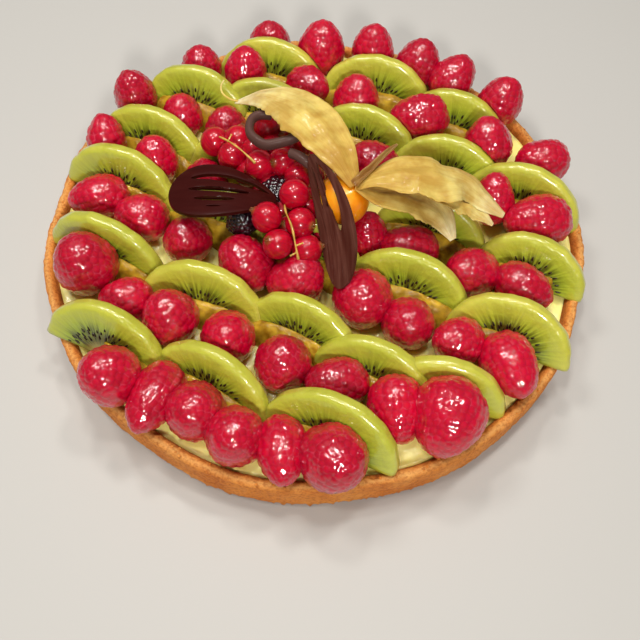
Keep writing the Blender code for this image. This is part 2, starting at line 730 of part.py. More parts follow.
def main():
    clear_scene()
    tart = bpy.data.objects.new("tart", None)
    bpy.context.scene.collection.objects.link(tart)

    biscuit = surface("shortcrust", (0.62, 0.30, 0.08), 0.75)
    cream = surface("custard", (0.88, 0.78, 0.28), 0.35)
    raspberry = surface("raspberry", (0.52, 0.02, 0.05), 0.25)
    kiwi = surface("kiwi", (0.42, 0.46, 0.05), 0.25)
    currant = surface("currant", (0.50, 0.01, 0.03), 0.12)
    dark = surface("dark_berry", (0.02, 0.008, 0.02), 0.3)
    orange = surface("physalis", (0.85, 0.32, 0.01), 0.2)
    papery = surface("husk", (0.66, 0.45, 0.12), 0.6)
    chocolate = surface("chocolate", (0.05, 0.015, 0.012), 0.35)

    crust = crust_shape()
    husk = husk_shape()
    flat_leaf = placed_leaf(**FLAT_LEAF)
    upright_leaf = upright_leaf_shape()
    trimmings = [husk, placed_leaf(**FLAT_LEAF, pierced=False), upright_leaf_shape(pierced=False)]

    ball = ball_shape(PHYSALIS_RADIUS, PHYSALIS_SIDES, PHYSALIS_RINGS)
    bmesh.ops.translate(ball, vec=PHYSALIS_PLACE, verts=ball.verts)
    carve(ball, trimmings)

    lumps = {}
    for row, groups in enumerate(KIWI_ROWS):
        for i, pieces in enumerate(groups, 1):
            lump = kiwi_lump(row, pieces)
            carve(lump, [crust, *trimmings, ball, *(shape for shape, _ in lumps.values())])
            lumps[f"kiwi_{row}_{i}"] = (lump, slice_placement(row, pieces[0]))

    half_slices = []
    for row, groups in enumerate(KIWI_ROWS):
        for piece in (p for pieces in groups for p in pieces):
            half_slices.append(placed(slice_shape(piece.radius), slice_placement(row, piece)))

    berries = {}
    for row, line in enumerate(RASPBERRY_ROWS):
        for i, berry in enumerate(line):
            placement = raspberry_placement(row, berry)
            shape = placed(berry_shape(berry.width, berry.length), placement)
            rest_on_custard(shape)
            berries[row, i] = (shape, placement)
    for shape, _ in berries.values():
        for half_slice in half_slices:
            press_against(shape, half_slice)
    pairs = {(row, i): (row, i + 1) for row, i in PRESSED_PAIRS}
    keys = list(berries)
    for n, one in enumerate(keys):
        for other in keys[n + 1 :]:
            if pairs.get(one) != other:
                middles = (berries[one][1].translation, berries[other][1].translation)
                press_together(berries[one][0], berries[other][0], middles)
    fruit = {}
    for (row, i), (shape, placement) in berries.items():
        if (row, i) in pairs.values():
            continue
        name = f"raspberry_{row}_{i + 1}"
        if (row, i) in pairs:
            combine(shape, berries[pairs[row, i]][0], "UNION")
            name = f"raspberries_{row}_{i + 1}_{i + 2}"
        carve(shape, [crust, *trimmings, ball])
        fruit[name] = (shape, placement)

    solid = [shape for shape, _ in [*lumps.values(), *fruit.values()]]
    dark_shapes = []
    for place, width, length in DARK_BERRIES:
        shape = berry_shape(width, length)
        bmesh.ops.translate(shape, vec=place, verts=shape.verts)
        carve(shape, [*trimmings, ball, *solid, *dark_shapes])
        dark_shapes.append(shape)
    heap = heap_shape()
    slice_off(heap, Vector((0, 0, HEAP_FLOOR)), Vector((0, 0, -1)))
    carve(heap, [*trimmings, ball, *solid, *dark_shapes])

    make_node("crust", crust, biscuit, tart)
    make_node("custard", custard_shape(), cream, tart)
    for name, (shape, placement) in lumps.items():
        make_node(name, shape, kiwi, tart, placement)
    for name, (shape, placement) in fruit.items():
        make_node(name, shape, raspberry, tart, placement)
    make_node("currants", heap, currant, tart)
    for i, shape in enumerate(dark_shapes, 1):
        make_node(f"dark_berry_{i}", shape, dark, tart, Matrix.Translation(DARK_BERRIES[i - 1][0]))
    make_node("physalis_fruit", ball, orange, tart, Matrix.Translation(PHYSALIS_PLACE))
    make_node("physalis_husk", husk, papery, tart, Matrix.Translation(HUSK_KNOT))
    make_node("chocolate_flat", flat_leaf, chocolate, tart)
    make_node("chocolate_upright", upright_leaf, chocolate, tart)


main()
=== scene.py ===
"""Looks of the round fruit tart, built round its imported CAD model.

Each shortcrust, custard, fruit and chocolate node is replaced by a detailed piece in the same
place. Shapes are worked out in millimetres and become metres when they become objects.
"""

import random
from collections import namedtuple
from math import atan2, cos, dist, hypot, pi, radians, sin, sqrt

import bmesh
import bpy
import numpy as np
from mathutils import Matrix, Vector, noise

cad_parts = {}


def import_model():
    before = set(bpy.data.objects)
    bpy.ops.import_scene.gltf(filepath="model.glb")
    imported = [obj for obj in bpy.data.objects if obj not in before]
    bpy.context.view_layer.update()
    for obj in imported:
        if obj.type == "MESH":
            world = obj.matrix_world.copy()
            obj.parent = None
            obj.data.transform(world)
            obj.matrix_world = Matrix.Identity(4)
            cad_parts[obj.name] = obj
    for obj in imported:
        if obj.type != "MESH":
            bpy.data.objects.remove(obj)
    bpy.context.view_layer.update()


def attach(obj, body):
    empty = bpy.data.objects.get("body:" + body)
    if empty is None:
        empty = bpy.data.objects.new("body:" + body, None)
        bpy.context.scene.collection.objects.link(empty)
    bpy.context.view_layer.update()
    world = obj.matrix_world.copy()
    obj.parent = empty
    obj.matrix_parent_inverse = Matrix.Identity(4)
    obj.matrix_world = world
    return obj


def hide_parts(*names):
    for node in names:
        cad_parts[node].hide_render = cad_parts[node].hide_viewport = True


MM = 0.001
UP = Vector((0, 0, 1))

# Shell and filling, as in the CAD model
RIM_RADIUS = 110.1
RIM_HEIGHT = 20.0
FOOT_RADIUS = 110.6
CUSTARD_LEVEL = 16.0
FLOOR_THICKNESS = 4.0
RIM_WAVE = 1.5
CREST_WAVE = 0.6
WAVES = [(0.25, 7, 1.1), (0.45, 11, 1.9), (0.3, 12, 0.3)]

# The fruit lies in rows that run from the left back to the right front.
ROW_TURN = radians(-22.5)
ROW_PITCH = 32.5
FRONT_ROW = -95.0
SLICE_SETBACK = 12.0
BERRY_TAPER = 0.17
BERRY_SINK = 0.88
SLICE_THICKNESS = 6.5
SLICE_SQUASH = 0.92

Raspberry = namedtuple("Raspberry", "along across width length turn rise lift", defaults=[0])
Slice = namedtuple("Slice", "along across turn radius base tilt lean", defaults=[0.5, 0, 21])

# For each row, from the left: along, across, width, length, turn, rise and, if any, lift
RASPBERRY_TABLE = [
    [
        (-37, -1, 22.5, 24, 200, 60, 3), (-19, 0, 19, 30, -110, 10, 1),
        (-3, 1, 22, 24, -100, 70, 1), (14, -1, 22, 24, -90, 70, 1),
        (31, 2, 19, 27, -85, 10, 1), (49, 6.4, 25, 26, -60, 50, 1),
    ],
    [
        (-71, 3, 25, 26, 180, 70, 2), (-50, -2, 18, 22, 190, 10),
        (-31, -2, 22, 23, 150, 75), (-7, 0, 21, 22, -90, 60),
        (16, 0, 22, 22, 90, 80), (37, 2, 19, 25, 190, 5),
        (61, 1, 21, 26, -80, -15, 1), (78.5, 5, 27, 30, -110, -15, 1),
    ],
    [
        (-86, 2, 19, 25, 195, 0), (-65, 1, 20, 23, 170, 10),
        (-43, 0, 20, 20, 90, 80), (-16.5, -1, 22, 25, 140, 40),
        (5.5, 1, 22, 24, 20, 50), (32, 4, 24, 24, -90, 40),
        (51.5, 3, 21, 21, -90, 60), (71, 4, 19, 22, 200, 30, 1),
        (92, 3, 21, 28, -70, 10, 1),
    ],
    [
        (-98, -5, 17, 21, 100, 50, 4), (-74, -5, 19, 22, 90, 70, 2),
        (-51, -4, 19, 20, 90, 60), (21, 1, 18, 21, 90, 60),
        (38.5, 2.5, 20, 25, 180, 10), (65, 3, 20, 24, 200, 40),
        (86, 6, 18, 25, -25, -5, 1),
    ],
    [
        (-101, -10, 19, 23, 120, 80, 2), (-78, -9, 18, 20, 90, 70),
        (-57, -7, 19, 20, 90, 60), (-35, -4, 20, 22, 90, 70),
        (-16, -2, 20, 23, 60, 60), (9, 3, 19, 23, 0, 0, 2),
        (30, 3, 20, 25, 0, 10, 1), (61, 6, 18, 23, 90, 60, 3),
        (81, 4, 22, 29, 190, 5, 2),
    ],
    [
        (-85, -12, 19, 20, 90, 75), (-64, -8, 19, 22, 90, 80, 3),
        (-35, -3, 18, 22, -40, 20, 3), (-13, 1, 21, 23, 60, 75),
        (17, 1, 21, 27, 185, 0, 3), (49, 0, 21, 24, 110, 65, 3),
        (73, 4, 19, 24, 185, 0, 2),
    ],
    [
        (-64, -17, 20, 21, 90, 75), (-40, -11, 22, 26, 90, 80),
        (-18, -2, 20, 24, 90, 80, 2), (4, 0, 20, 23, 45, 65, 2),
        (21.5, -1, 20, 24, 40, 40, 1), (46, -5, 20, 23, 40, 65, 2),
    ],
]
RASPBERRY_ROWS = [[Raspberry(*berry) for berry in row] for row in RASPBERRY_TABLE]
PRESSED_PAIRS = [
    *((0, 0), (0, 2), (0, 4), (1, 1), (1, 4), (2, 0), (2, 3)),
    *((2, 5), (2, 7), (3, 3), (3, 5), (4, 3), (4, 5), (4, 7), (6, 3)),
]
KIWI_ROWS = [
    [
        [Slice(-47, -2, 5, 24.8, 3, 5, 23)],
        [Slice(-4, 1, -4, 25), Slice(44, 1.5, 0, 26.5, 3, -3, 23)],
    ],
    [
        [
            Slice(-69, 1.5, 3, 25.5, 2, 3, 10), Slice(-24, -2.5, 10, 26),
            Slice(17, 1.5, -3, 25), Slice(48, -2.5, 2, 25), Slice(74, 2.5, 13, 24, 1.5, -1),
        ],
    ],
    [
        [Slice(-82, 0, 6, 25.5, 1, 3, 18)],
        [Slice(-38, 1, 4, 25), Slice(3, 3, 4, 24)],
        [Slice(45, 5, 6, 26)],
        [Slice(88, 2, 1, 25.3, 2, -4, 26)],
    ],
    [
        [Slice(-83, -8, 7, 25.3, 0, 3, 20), Slice(-42, -3, 8, 24)],
        [Slice(43, 3, 4, 24), Slice(86, 2, 1, 23.5, 1.5, -3, 24)],
    ],
    [
        [Slice(-76, -13, 8, 25.2, 2, 3, 22), Slice(-46, -5, 14, 25.5)],
        [
            Slice(-1, 3, 3, 25.2, -1.5), Slice(38, 3, 7, 25.6, -1.5),
            Slice(72, 2, 2, 25.9, 0, -3, 16),
        ],
    ],
    [
        [Slice(-56, -11, 12, 26, -3, lean=21)],
        [Slice(-8, 0, 12, 26.5, -2, lean=19)],
        [Slice(31, -2, 2, 24.8, -2.5)],
    ],
]

PHYSALIS_PLACE = Vector((10, 0, 42))
PHYSALIS_RADIUS = 10.5
CURRANT_RADIUS = 6.3
HEAP_MIDDLE = Vector((-17, 4, 27))
CURRANT_PLACES = [
    (-19, -11, 42), (-9, -1, 44), (-6, -12, 41), (-14, -21, 39),
    (-3, -20, 35), (-15, 17, 41), (-24, 15, 41), (-44, 30, 36),
    (-36, 22, 37), (-34, 30, 38), (-27, 25, 38), (-8, 11, 40),
    (-23, 38, 37), (-4, 1, 37), (-10, 25, 40),
]
DARK_BERRIES = [((-29, -7.5, 35), 14, 15), ((-17, 6, 35.5), 13, 14)]

HUSK_THICKNESS = 0.3
HUSK_KNOT = (14, -2, 53)
Sepal = namedtuple("Sepal", "middle widths cup torn")
SEPALS = [
    Sepal(
        [
            HUSK_KNOT, (8.5, 6.5, 58.5), (1.5, 16, 60.5), (-7, 25, 60.8),
            (-15, 32.5, 59), (-24, 38, 55.5), (-36, 41.5, 47.5),
        ],
        [2.2, 6.5, 10, 11.8, 10.2, 6, 0.9], -1.6, -1,
    ),
    Sepal(
        [
            HUSK_KNOT, (21, 0, 56.5), (29, 1, 58.6), (38, 1, 58.8),
            (47.5, 1, 56.5), (56, 2.5, 52.5), (64, 0, 46.5), (72.5, -3.5, 42),
        ],
        [2, 4.4, 8.4, 10.2, 10.2, 7.4, 5, 1.6], -2.0, 1,
    ),
    Sepal(
        [
            HUSK_KNOT, (22, -2.5, 50.5), (31, -2, 48.5),
            (41, -3, 46), (48, -5.5, 42), (53.5, -12.5, 36.5),
        ],
        [1.8, 5, 7.8, 8.6, 6.6, 1.5], -1.5, 1,
    ),
    Sepal([(40, 0, 54.5), (51, -2, 50.5), (60, -4, 46), (68, -8, 41.5)], [4.5, 6, 5, 0.8], -1.0, 1),
]
DRY_SEPAL = [HUSK_KNOT, (18, 2, 56), (23, 7, 58), (27, 11, 59.5), (29, 13, 60)]
HUSK_THREAD = [
    (-33, 41, 48.5), (-38, 42.5, 48), (-41.5, 45.5, 48), (-42.5, 49, 48.5), (-41.5, 52, 49),
]

FLAT_LEAF = dict(place=(-37, -1, 41), turn=178, rise=0, roll=8)
UPRIGHT_LEAF = dict(place=(3.5, -14.2, 46), turn=108, rise=26, roll=-52)
LEAF_THICKNESS = 1.6
Slot = namedtuple("Slot", "across start end width")
# across, start and end are shares of the leaf's half width and half length.
FLAT_LEAF_SLOTS = [
    Slot(-0.5, -0.86, 0.64, 3.7), Slot(-0.02, -0.5, 0.64, 2.7),
    Slot(0.36, -0.26, 0.5, 2.0), Slot(0.65, -0.02, 0.24, 0.9),
]
UPRIGHT_LEAF_SLOTS = [Slot(-0.22, -0.2, 0.86, 5.2), Slot(0.5, 0.2, 0.84, 1.6)]
FLAT_LEAF_SHAPE = dict(length=42, width=26, bend=3, sweep=0, taper=-0.4)
UPRIGHT_LEAF_SHAPE = dict(length=52, width=17, bend=-3, sweep=-1.5, taper=0.18)
CURL_PATH = [
    (-20, 31, 52), (-25, 31, 52), (-28, 28, 52), (-28, 22, 52),
    (-25, 18, 52), (-21, 16, 52), (-15, 17, 53), (-11, 18, 54),
    (-7, 20, 54.5),
]
CURL_END = [(-11.5, 13.5, 51), (-8.5, 11.5, 52), (-5, 8.8, 52.2), (-1.5, 6.5, 51)]
# Currants that only show between the others
LOW_CURRANTS = [
    (1.6, -8.7, 31), (-6.2, -10.7, 30), (1.9, 0.8, 34), (-13.9, 14.8, 34),
    (-20, 11, 34), (-29, 17, 33), (-13.2, 35.2, 34), (-2.9, 13.2, 37),
    (-31.5, 28, 33), (-20, 30, 34), (-11, -11, 34),
]
CURRANT_STEMS = [
    [(-41, 25, 45), (-36.5, 20.7, 47.5), (-31.4, 16.5, 48), (-25, 11.6, 46)],
    [(-37, 20.6, 47), (-35.5, 23.5, 48.5)],
    [
        (-12.5, -6, 44), (-11.5, -11.5, 46.5), (-8.7, -19.6, 48.5), (-6.8, -26.1, 45),
        (-5.6, -29.5, 42),
    ],
    [(-6.9, -25.5, 45.3), (-4.2, -24.6, 46.2)],
    [(-6.4, -27.5, 44), (-8.8, -28.6, 43)],
]

# Small bright lamps overhead, whose glints sit on the glazed fruit: place, size and power.
CEILING_LAMPS = [
    ((-380, 150, 820), 200, 2.1), ((-110, 340, 860), 110, 1.5), ((230, 200, 860), 110, 1.5),
    ((-180, -170, 900), 110, 1.5), ((60, 40, 950), 110, 1.5),
]

# Drupelets: from one's middle to the next, how deep the creases are, and how far glaze fills them
RASPBERRY_GRAIN = dict(pitch=3.1, depth=1.0, filled=0.68)
DARK_BERRY_GRAIN = dict(pitch=2.5, depth=1.5, filled=0.0)
BERRY_FINENESS = 6
DRUPELET_REACH = 0.66
DRUPELET_MIDHEIGHT = 0.55
BERRY_LUMPS = 0.045
BERRY_PRINT = 0.42

# Detail of the other pieces
SHELL_STEPS = 720
SHELL_UNDERSIDE = 0.15
WALL_AT_FLOOR = 5.6
WALL_LEAN = 1.2
CRUMBS = 220
CUSTARD_RINGS = 90
CUSTARD_STEPS = 240
CUSTARD_GAP = 0.3
SLICE_STEPS = 56
SLICE_RINGS = 14
SLICE_ROUNDING = 2.3
SEEDS_IN_A_SLICE = 38
SEED_ARCS = (0.4, 0.54, 0.46)
GLAZE_REACH = 8
GLAZE_RISE = 0.36
GLAZE_SHORE = RIM_RADIUS - 9
HEAP_CORE_RADIUS = 10
LEAF_STEPS = 96
FLOOR_REACH = 3000
FLOOR_GAP = 0.2

Finish = namedtuple("Finish", "material tree shader")


# ---- Making objects ----


def linked(name, data):
    obj = bpy.data.objects.new(name, data)
    bpy.context.scene.collection.objects.link(obj)
    return obj


def mesh_object(name, shape, material):
    """Turns a finished shape in millimetres into an object in metres."""
    shape.transform(Matrix.Scale(MM, 4))
    mesh = bpy.data.meshes.new(name)
    shape.to_mesh(mesh)
    shape.free()
    mesh.shade_smooth()
    mesh.materials.append(material)
    return linked(name, mesh)


def piece(name, shape, material, slot, *nodes):
    """An object that rides on the tart and stands for its CAD nodes."""
    obj = mesh_object(name, shape, material)
    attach(obj, "root")
    if nodes:
        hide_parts(*nodes)
    return obj


def face_out(shape):
    bmesh.ops.recalc_face_normals(shape, faces=shape.faces)
    if shape.calc_volume(signed=True) < 0:
        bmesh.ops.reverse_faces(shape, faces=shape.faces)
    return shape


def spin(shape, verts, axis, angle, steps):
    """Spins the line through some points round an axis through the middle."""
    geom = verts + [shape.edges.new(pair) for pair in zip(verts, verts[1:])]
    how = {"cent": (0, 0, 0), "axis": axis, "angle": angle, "steps": steps}
    bmesh.ops.spin(shape, geom=geom, use_merge=angle == 2 * pi, **how)
    bmesh.ops.remove_doubles(shape, verts=shape.verts, dist=0.001)


def turned_body(profile, steps):
    """A closed body spun round Z from (radius, height) points that start and end on the axis."""
    shape = bmesh.new()
    verts = [shape.verts.new((radius, 0, height)) for radius, height in profile]
    spin(shape, verts, (0, 0, 1), 2 * pi, steps)
    return face_out(shape)


def thickened(part, normals, thickness):
    """Gives a sheet its thickness: each point's back lies down its own normal."""
    made = bmesh.ops.extrude_face_region(part, geom=part.faces[:], use_keep_orig=True)
    for vert in made["geom"]:
        if isinstance(vert, bmesh.types.BMVert):
            vert.co -= normals(vert) * thickness
    return face_out(part)


def add_copy(shape, part):
    """Adds a finished part to a shape and frees the part."""
    mesh = bpy.data.meshes.new("part")
    part.to_mesh(mesh)
    part.free()
    shape.from_mesh(mesh)
    bpy.data.meshes.remove(mesh)


def layers_of(shape, *names):
    """Painted values on the points, made if they aren't there yet."""
    floats = shape.verts.layers.float
    for name in names:
        if name not in floats:
            floats.new(name)
    return [floats[name] for name in names]


def flowing(points, share):
    """A point on the smooth curve through some points, from 0 at the first to 1 at the last."""
    place = min(max(share, 0.0), 1.0) * (len(points) - 1)
    i = min(int(place), len(points) - 2)
    t = place - i
    before, start, end, after = (
        Vector(points[min(max(j, 0), len(points) - 1)]) for j in (i - 1, i, i + 1, i + 2)
    )
    bent = 2 * start + (end - before) * t + (2 * before - 5 * start + 4 * end - after) * t**2
    return (bent + (3 * start - before - 3 * end + after) * t**3) / 2


def heading(points, share):
    return (flowing(points, share + 0.01) - flowing(points, share - 0.01)).normalized()


def heading_normal(points, share):
    """The upward normal of a path, square to its run."""
    way = heading(points, share)
    return way.cross(UP).normalized().cross(way)


def add_rod(shape, points, reach, steps=40, sides=10):
    """Adds a rod along a smooth path. reach(t) gives its half width and half height at share t."""
    part = bmesh.new()
    (along,) = layers_of(part, "along")
    bmesh.ops.create_grid(part, x_segments=steps, y_segments=sides, size=1)
    for vert in part.verts:
        t, angle = (vert.co.x + 1) / 2, pi * vert.co.y
        way = heading(points, t)
        side = way.cross(UP).normalized()
        wide, tall = reach(t) if 0 < t < 1 else (0.0, 0.0)
        vert[along] = t
        off = side * wide * cos(angle) + side.cross(way) * tall * sin(angle)
        vert.co = flowing(points, t) + off
    bmesh.ops.remove_doubles(part, verts=part.verts, dist=0.0005)
    face_out(part)
    add_copy(shape, part)


def rippled(point, size, seed=0.0):
    """Smooth noise from -1 to 1 with bumps about this many millimetres apart."""
    return noise.noise(Vector(point) / size + Vector((seed, 3.1 * seed, 0)))


def between(start, end, share):
    return start + (end - start) * share


def outward(angle, reach):
    """A level step of this length away from the tart's middle."""
    return Vector((reach * cos(angle), reach * sin(angle), 0))


def eased(low, high, value):
    """0 up to low, 1 from high on, and a smooth rise between them."""
    share = min(1.0, max(0.0, (value - low) / (high - low)))
    return share * share * (3 - 2 * share)


# ---- Materials ----


def colour(red, green, blue):
    """Linear colour of a display colour given from 0 to 255."""
    parts = (red, green, blue)
    return (*(((c / 255 + 0.055) / 1.055) ** 2.4 if c > 10 else c / 3294.6 for c in parts), 1)


def finish(name, soft=None, coat=None, **settings):
    """A Principled material. soft is the weight, depth in millimetres and spread of the light
    under its skin, coat is the weight and roughness of the glaze, and the rest are sockets."""
    if soft:
        weight, depth, spread = soft
        settings.update(
            Subsurface_Weight=weight, Subsurface_Scale=depth * MM, Subsurface_Radius=spread
        )
    if coat:
        settings.update(Coat_Weight=coat[0], Coat_Roughness=coat[1])
    material = bpy.data.materials.new(name)
    material.use_nodes = True
    shader = material.node_tree.nodes["Principled BSDF"]
    for socket, value in settings.items():
        shader.inputs[socket.replace("_", " ")].default_value = value
    return Finish(material, material.node_tree, shader)


def node(tree, kind, inputs=None, **settings):
    """A shader node whose inputs are set from values or linked from sockets."""
    made = tree.nodes.new("ShaderNode" + kind)
    for key, value in settings.items():
        setattr(made, key, value)
    for key, value in (inputs or {}).items():
        if isinstance(value, bpy.types.NodeSocket):
            tree.links.new(value, made.inputs[key])
        else:
            made.inputs[key].default_value = value
    return made


def millimetres(tree, stretch=(1, 1, 1)):
    """Object coordinates in millimetres, stretched along each axis."""
    coords = node(tree, "TexCoord").outputs["Object"]
    scale = [s / MM for s in stretch]
    return node(tree, "Mapping", {"Vector": coords, "Scale": scale}).outputs["Vector"]


def grain(tree, coords, size, detail=2.0, roughness=0.5):
    """Noise with patches of about this size."""
    inputs = {"Vector": coords, "Scale": 1 / size, "Detail": detail, "Roughness": roughness}
    return node(tree, "TexNoise", inputs).outputs["Fac"]


def worth(tree, name):
    """A value that was painted on the mesh's points."""
    return node(tree, "Attribute", attribute_name=name).outputs["Fac"]


def painted_grain(tree, names, scale, detail, roughness=0.5):
    """Noise along values that were painted on the mesh's points."""
    values = {axis: worth(tree, name) for axis, name in zip("XYZ", names)}
    place = node(tree, "CombineXYZ", values).outputs[0]
    stretched = node(tree, "Mapping", {"Vector": place, "Scale": scale}).outputs["Vector"]
    return grain(tree, stretched, 1, detail, roughness)


def ramp(tree, share, *stops):
    """A colour that runs through stops, each a place and then a display colour or a grey."""
    made = node(tree, "ValToRGB", {"Fac": share})
    elements = made.color_ramp.elements
    for _ in stops[2:]:
        elements.new(0.5)
    for element, (place, *shade) in zip(elements, stops):
        element.position = place
        element.color = colour(*shade) if len(shade) == 3 else (*(shade * 3), 1)
    return made.outputs["Color"]


def blended(tree, share, first, second, mode="MIX"):
    inputs = {0: share, 6: first, 7: second}
    return node(tree, "Mix", inputs, data_type="RGBA", blend_type=mode).outputs[2]


def sum_of(tree, operation, first, second):
    return node(tree, "Math", {0: first, 1: second}, operation=operation).outputs[0]


def bump(tree, height, depth, below=None):
    """A normal raised by height, whose full range is this many millimetres deep."""
    inputs = {"Height": height, "Distance": depth * MM, "Strength": 1.0}
    if below is not None:
        inputs["Normal"] = below
    return node(tree, "Bump", inputs).outputs["Normal"]


def paint(made, **sockets):
    """Links sockets into the shader and gives the finished material."""
    for name, socket in sockets.items():
        made.tree.links.new(socket, made.shader.inputs[name.replace("_", " ")])
    return made.material


def patchy_finish(name, size, detail, *stops, **settings):
    """A finish whose colour wanders from stop to stop in patches of this size."""
    made = finish(name, **settings)
    patches = grain(made.tree, millimetres(made.tree), size, detail)
    return paint(made, Base_Color=ramp(made.tree, patches, *stops))


# ---- Shell and filling ----


def wave(angle):
    """The rim's slow, uneven wander, from -1 to 1."""
    return sum(share * sin(waves * angle + shift) for share, waves, shift in WAVES)


def inner_radius(height):
    climbed = (height - FLOOR_THICKNESS) / (RIM_HEIGHT - FLOOR_THICKNESS)
    return RIM_RADIUS - WALL_AT_FLOOR + WALL_LEAN * climbed


def along_outline(corners, step):
    """Points every step or so along straight runs between corners."""
    points = []
    for start, end in zip(corners, corners[1:]):
        count = max(1, round(dist(start, end) / step))
        for i in range(count):
            points.append(tuple(between(a, b, i / count) for a, b in zip(start, end)))
    return points + [corners[-1]]


def shortcrust_finish():
    made = finish("baked_shortcrust", Roughness=0.72, Specular_IOR_Level=0.35)
    tree = made.tree
    coords = millimetres(tree)
    patches = grain(tree, coords, 14, 4)
    crumbs = grain(tree, coords, 1.3, 5, 0.65)
    crust = ramp(tree, patches, (0.3, 218, 126, 42), (0.5, 236, 147, 58), (0.72, 244, 166, 80))
    # Darker on the inner slope, a little on the foot, and in the pits, where it is painted shade
    crust = blended(tree, worth(tree, "darker_slope_and_pit_shade"), crust, colour(196, 108, 36))
    # A lighter band along the top of the rim's ridge: painted highlight
    crust = blended(tree, worth(tree, "painted_ridge_highlight"), crust, colour(236, 180, 106))
    speckle = ramp(tree, crumbs, (0.36, 196, 136, 84), (0.55, 1))
    crust = blended(tree, 0.6, crust, speckle, "MULTIPLY")
    fine = grain(tree, coords, 0.45, 3, 0.7)
    relief = bump(tree, fine, 0.4, bump(tree, crumbs, 0.95))
    return paint(made, Base_Color=crust, Normal=relief)


def crumbs_piece(biscuit):
    """Loose crumbs round the foot of the shell and along its rim."""
    rng = random.Random(21)
    shape = bmesh.new()
    for k in range(CRUMBS):
        angle = rng.uniform(0, 2 * pi)
        size = rng.uniform(0.3, 0.7)
        if k % 4 == 0:
            radius = RIM_RADIUS - rng.uniform(0.8, 3.4)
            height = RIM_HEIGHT - 0.2 + CREST_WAVE * wave(angle + 2)
        else:
            radius = FOOT_RADIUS - 1.2 - size
            height = rng.uniform(1.0, 1.8)
        place = outward(angle, radius + RIM_WAVE * wave(angle)) + UP * height
        part = bmesh.new()
        bmesh.ops.create_icosphere(part, subdivisions=2, radius=size)
        for vert in part.verts:
            vert.co *= 1 + 0.4 * rippled(vert.co, size, k)
            vert.co += place
        add_copy(shape, part)
    return piece("crust_crumbs", shape, biscuit, "shortcrust")


def crust_piece(biscuit):
    """The baked shell: a hand-pressed rim with a rounded ridge, a pitted lip and a crumbly foot."""
    outline = [
        (0, SHELL_UNDERSIDE),
        (96, SHELL_UNDERSIDE),
        (FOOT_RADIUS - 1.4, SHELL_UNDERSIDE),
        (FOOT_RADIUS - 0.6, 1.2),
        (RIM_RADIUS + 0.1, RIM_HEIGHT - 3.0),
        (RIM_RADIUS - 0.1, RIM_HEIGHT - 1.3),
        (RIM_RADIUS - 0.7, RIM_HEIGHT - 0.5),
        (RIM_RADIUS - 2.2, RIM_HEIGHT - 0.25),
        (RIM_RADIUS - 3.6, RIM_HEIGHT - 1.0),
        (RIM_RADIUS - 4.4, RIM_HEIGHT - 2.4),
        (inner_radius(CUSTARD_LEVEL), CUSTARD_LEVEL),
        (inner_radius(FLOOR_THICKNESS), FLOOR_THICKNESS),
        (0, FLOOR_THICKNESS),
    ]
    under = along_outline(outline[:2], 48)
    outer = along_outline(outline[1:11], 0.75)[1:]
    inside = along_outline(outline[10:], 13)[1:]
    shape = turned_body(under + outer + inside, SHELL_STEPS)
    darker_slope_and_pit_shade, painted_ridge_highlight = layers_of(shape, "darker_slope_and_pit_shade", "painted_ridge_highlight")
    for vert in shape.verts:
        x, y, z = vert.co
        radius = hypot(x, y)
        if radius < 90:
            continue
        angle = atan2(y, x)
        above = eased(CUSTARD_LEVEL - 3, CUSTARD_LEVEL + 2, z)
        out = RIM_WAVE * wave(angle)
        lift = CREST_WAVE * wave(angle + 2) * above
        outside = eased(RIM_RADIUS - 2, RIM_RADIUS, radius)
        crumb = rippled(vert.co, 2.2) * 0.36 + rippled(vert.co, 1.0, 5) * 0.26
        dent = rippled(vert.co, 7, 2) * 0.35
        foot = outside * (1 - eased(0.8, 4.5, z))
        torn = rippled((x, y, 0), 2.4, 9) * 1.3 + rippled((x, y, 0), 1.1, 4) * 0.8
        ragged = foot * (torn - 0.8)
        pit = max(0.0, rippled(vert.co, 2.0, 7) - 0.25) * (1 - outside) * above * 1.3
        bumps = crumb * (0.4 + 0.6 * outside) + dent
        move = out + min(bumps, 0.1 + 0.25 * bumps) + ragged + pit
        flat = eased(0.2, 0.6, z)
        vert.co += outward(angle, move)
        vert.co.z += flat * (lift + (crumb * 0.8 + dent * 0.5) * above - pit * 0.6)
        vert.co.z = max(vert.co.z, 0.0)
        # Darker on the inner slope, a little on the foot, and in the pits, where it is painted
        # shade
        inner = 1 - eased(RIM_RADIUS - 4.6, RIM_RADIUS - 2.8, radius)
        vert[darker_slope_and_pit_shade] = max(inner * 0.9, foot * 0.25, eased(0.3, 0.8, pit))
        # Painted highlight along the top of the rim's ridge
        ridge = 1 - abs(radius - (RIM_RADIUS - 1.6)) / 1.6
        vert[painted_ridge_highlight] = max(0.0, ridge) * above * 0.75
    return piece("baked_shell", shape, biscuit, "shortcrust", "crust")


def custard_finish():
    made = finish(
        "glazed_custard", Roughness=0.3, soft=(0.2, 5, (1.0, 0.8, 0.35)), coat=(0.2, 0.06),
    )
    tree = made.tree
    coords = millimetres(tree)
    shade = ramp(tree, grain(tree, coords, 9, 3), (0.3, 255, 238, 128), (0.65, 255, 247, 154))
    relief = bump(tree, grain(tree, coords, 5, 2), 0.5)
    return paint(made, Base_Color=shade, Normal=relief)


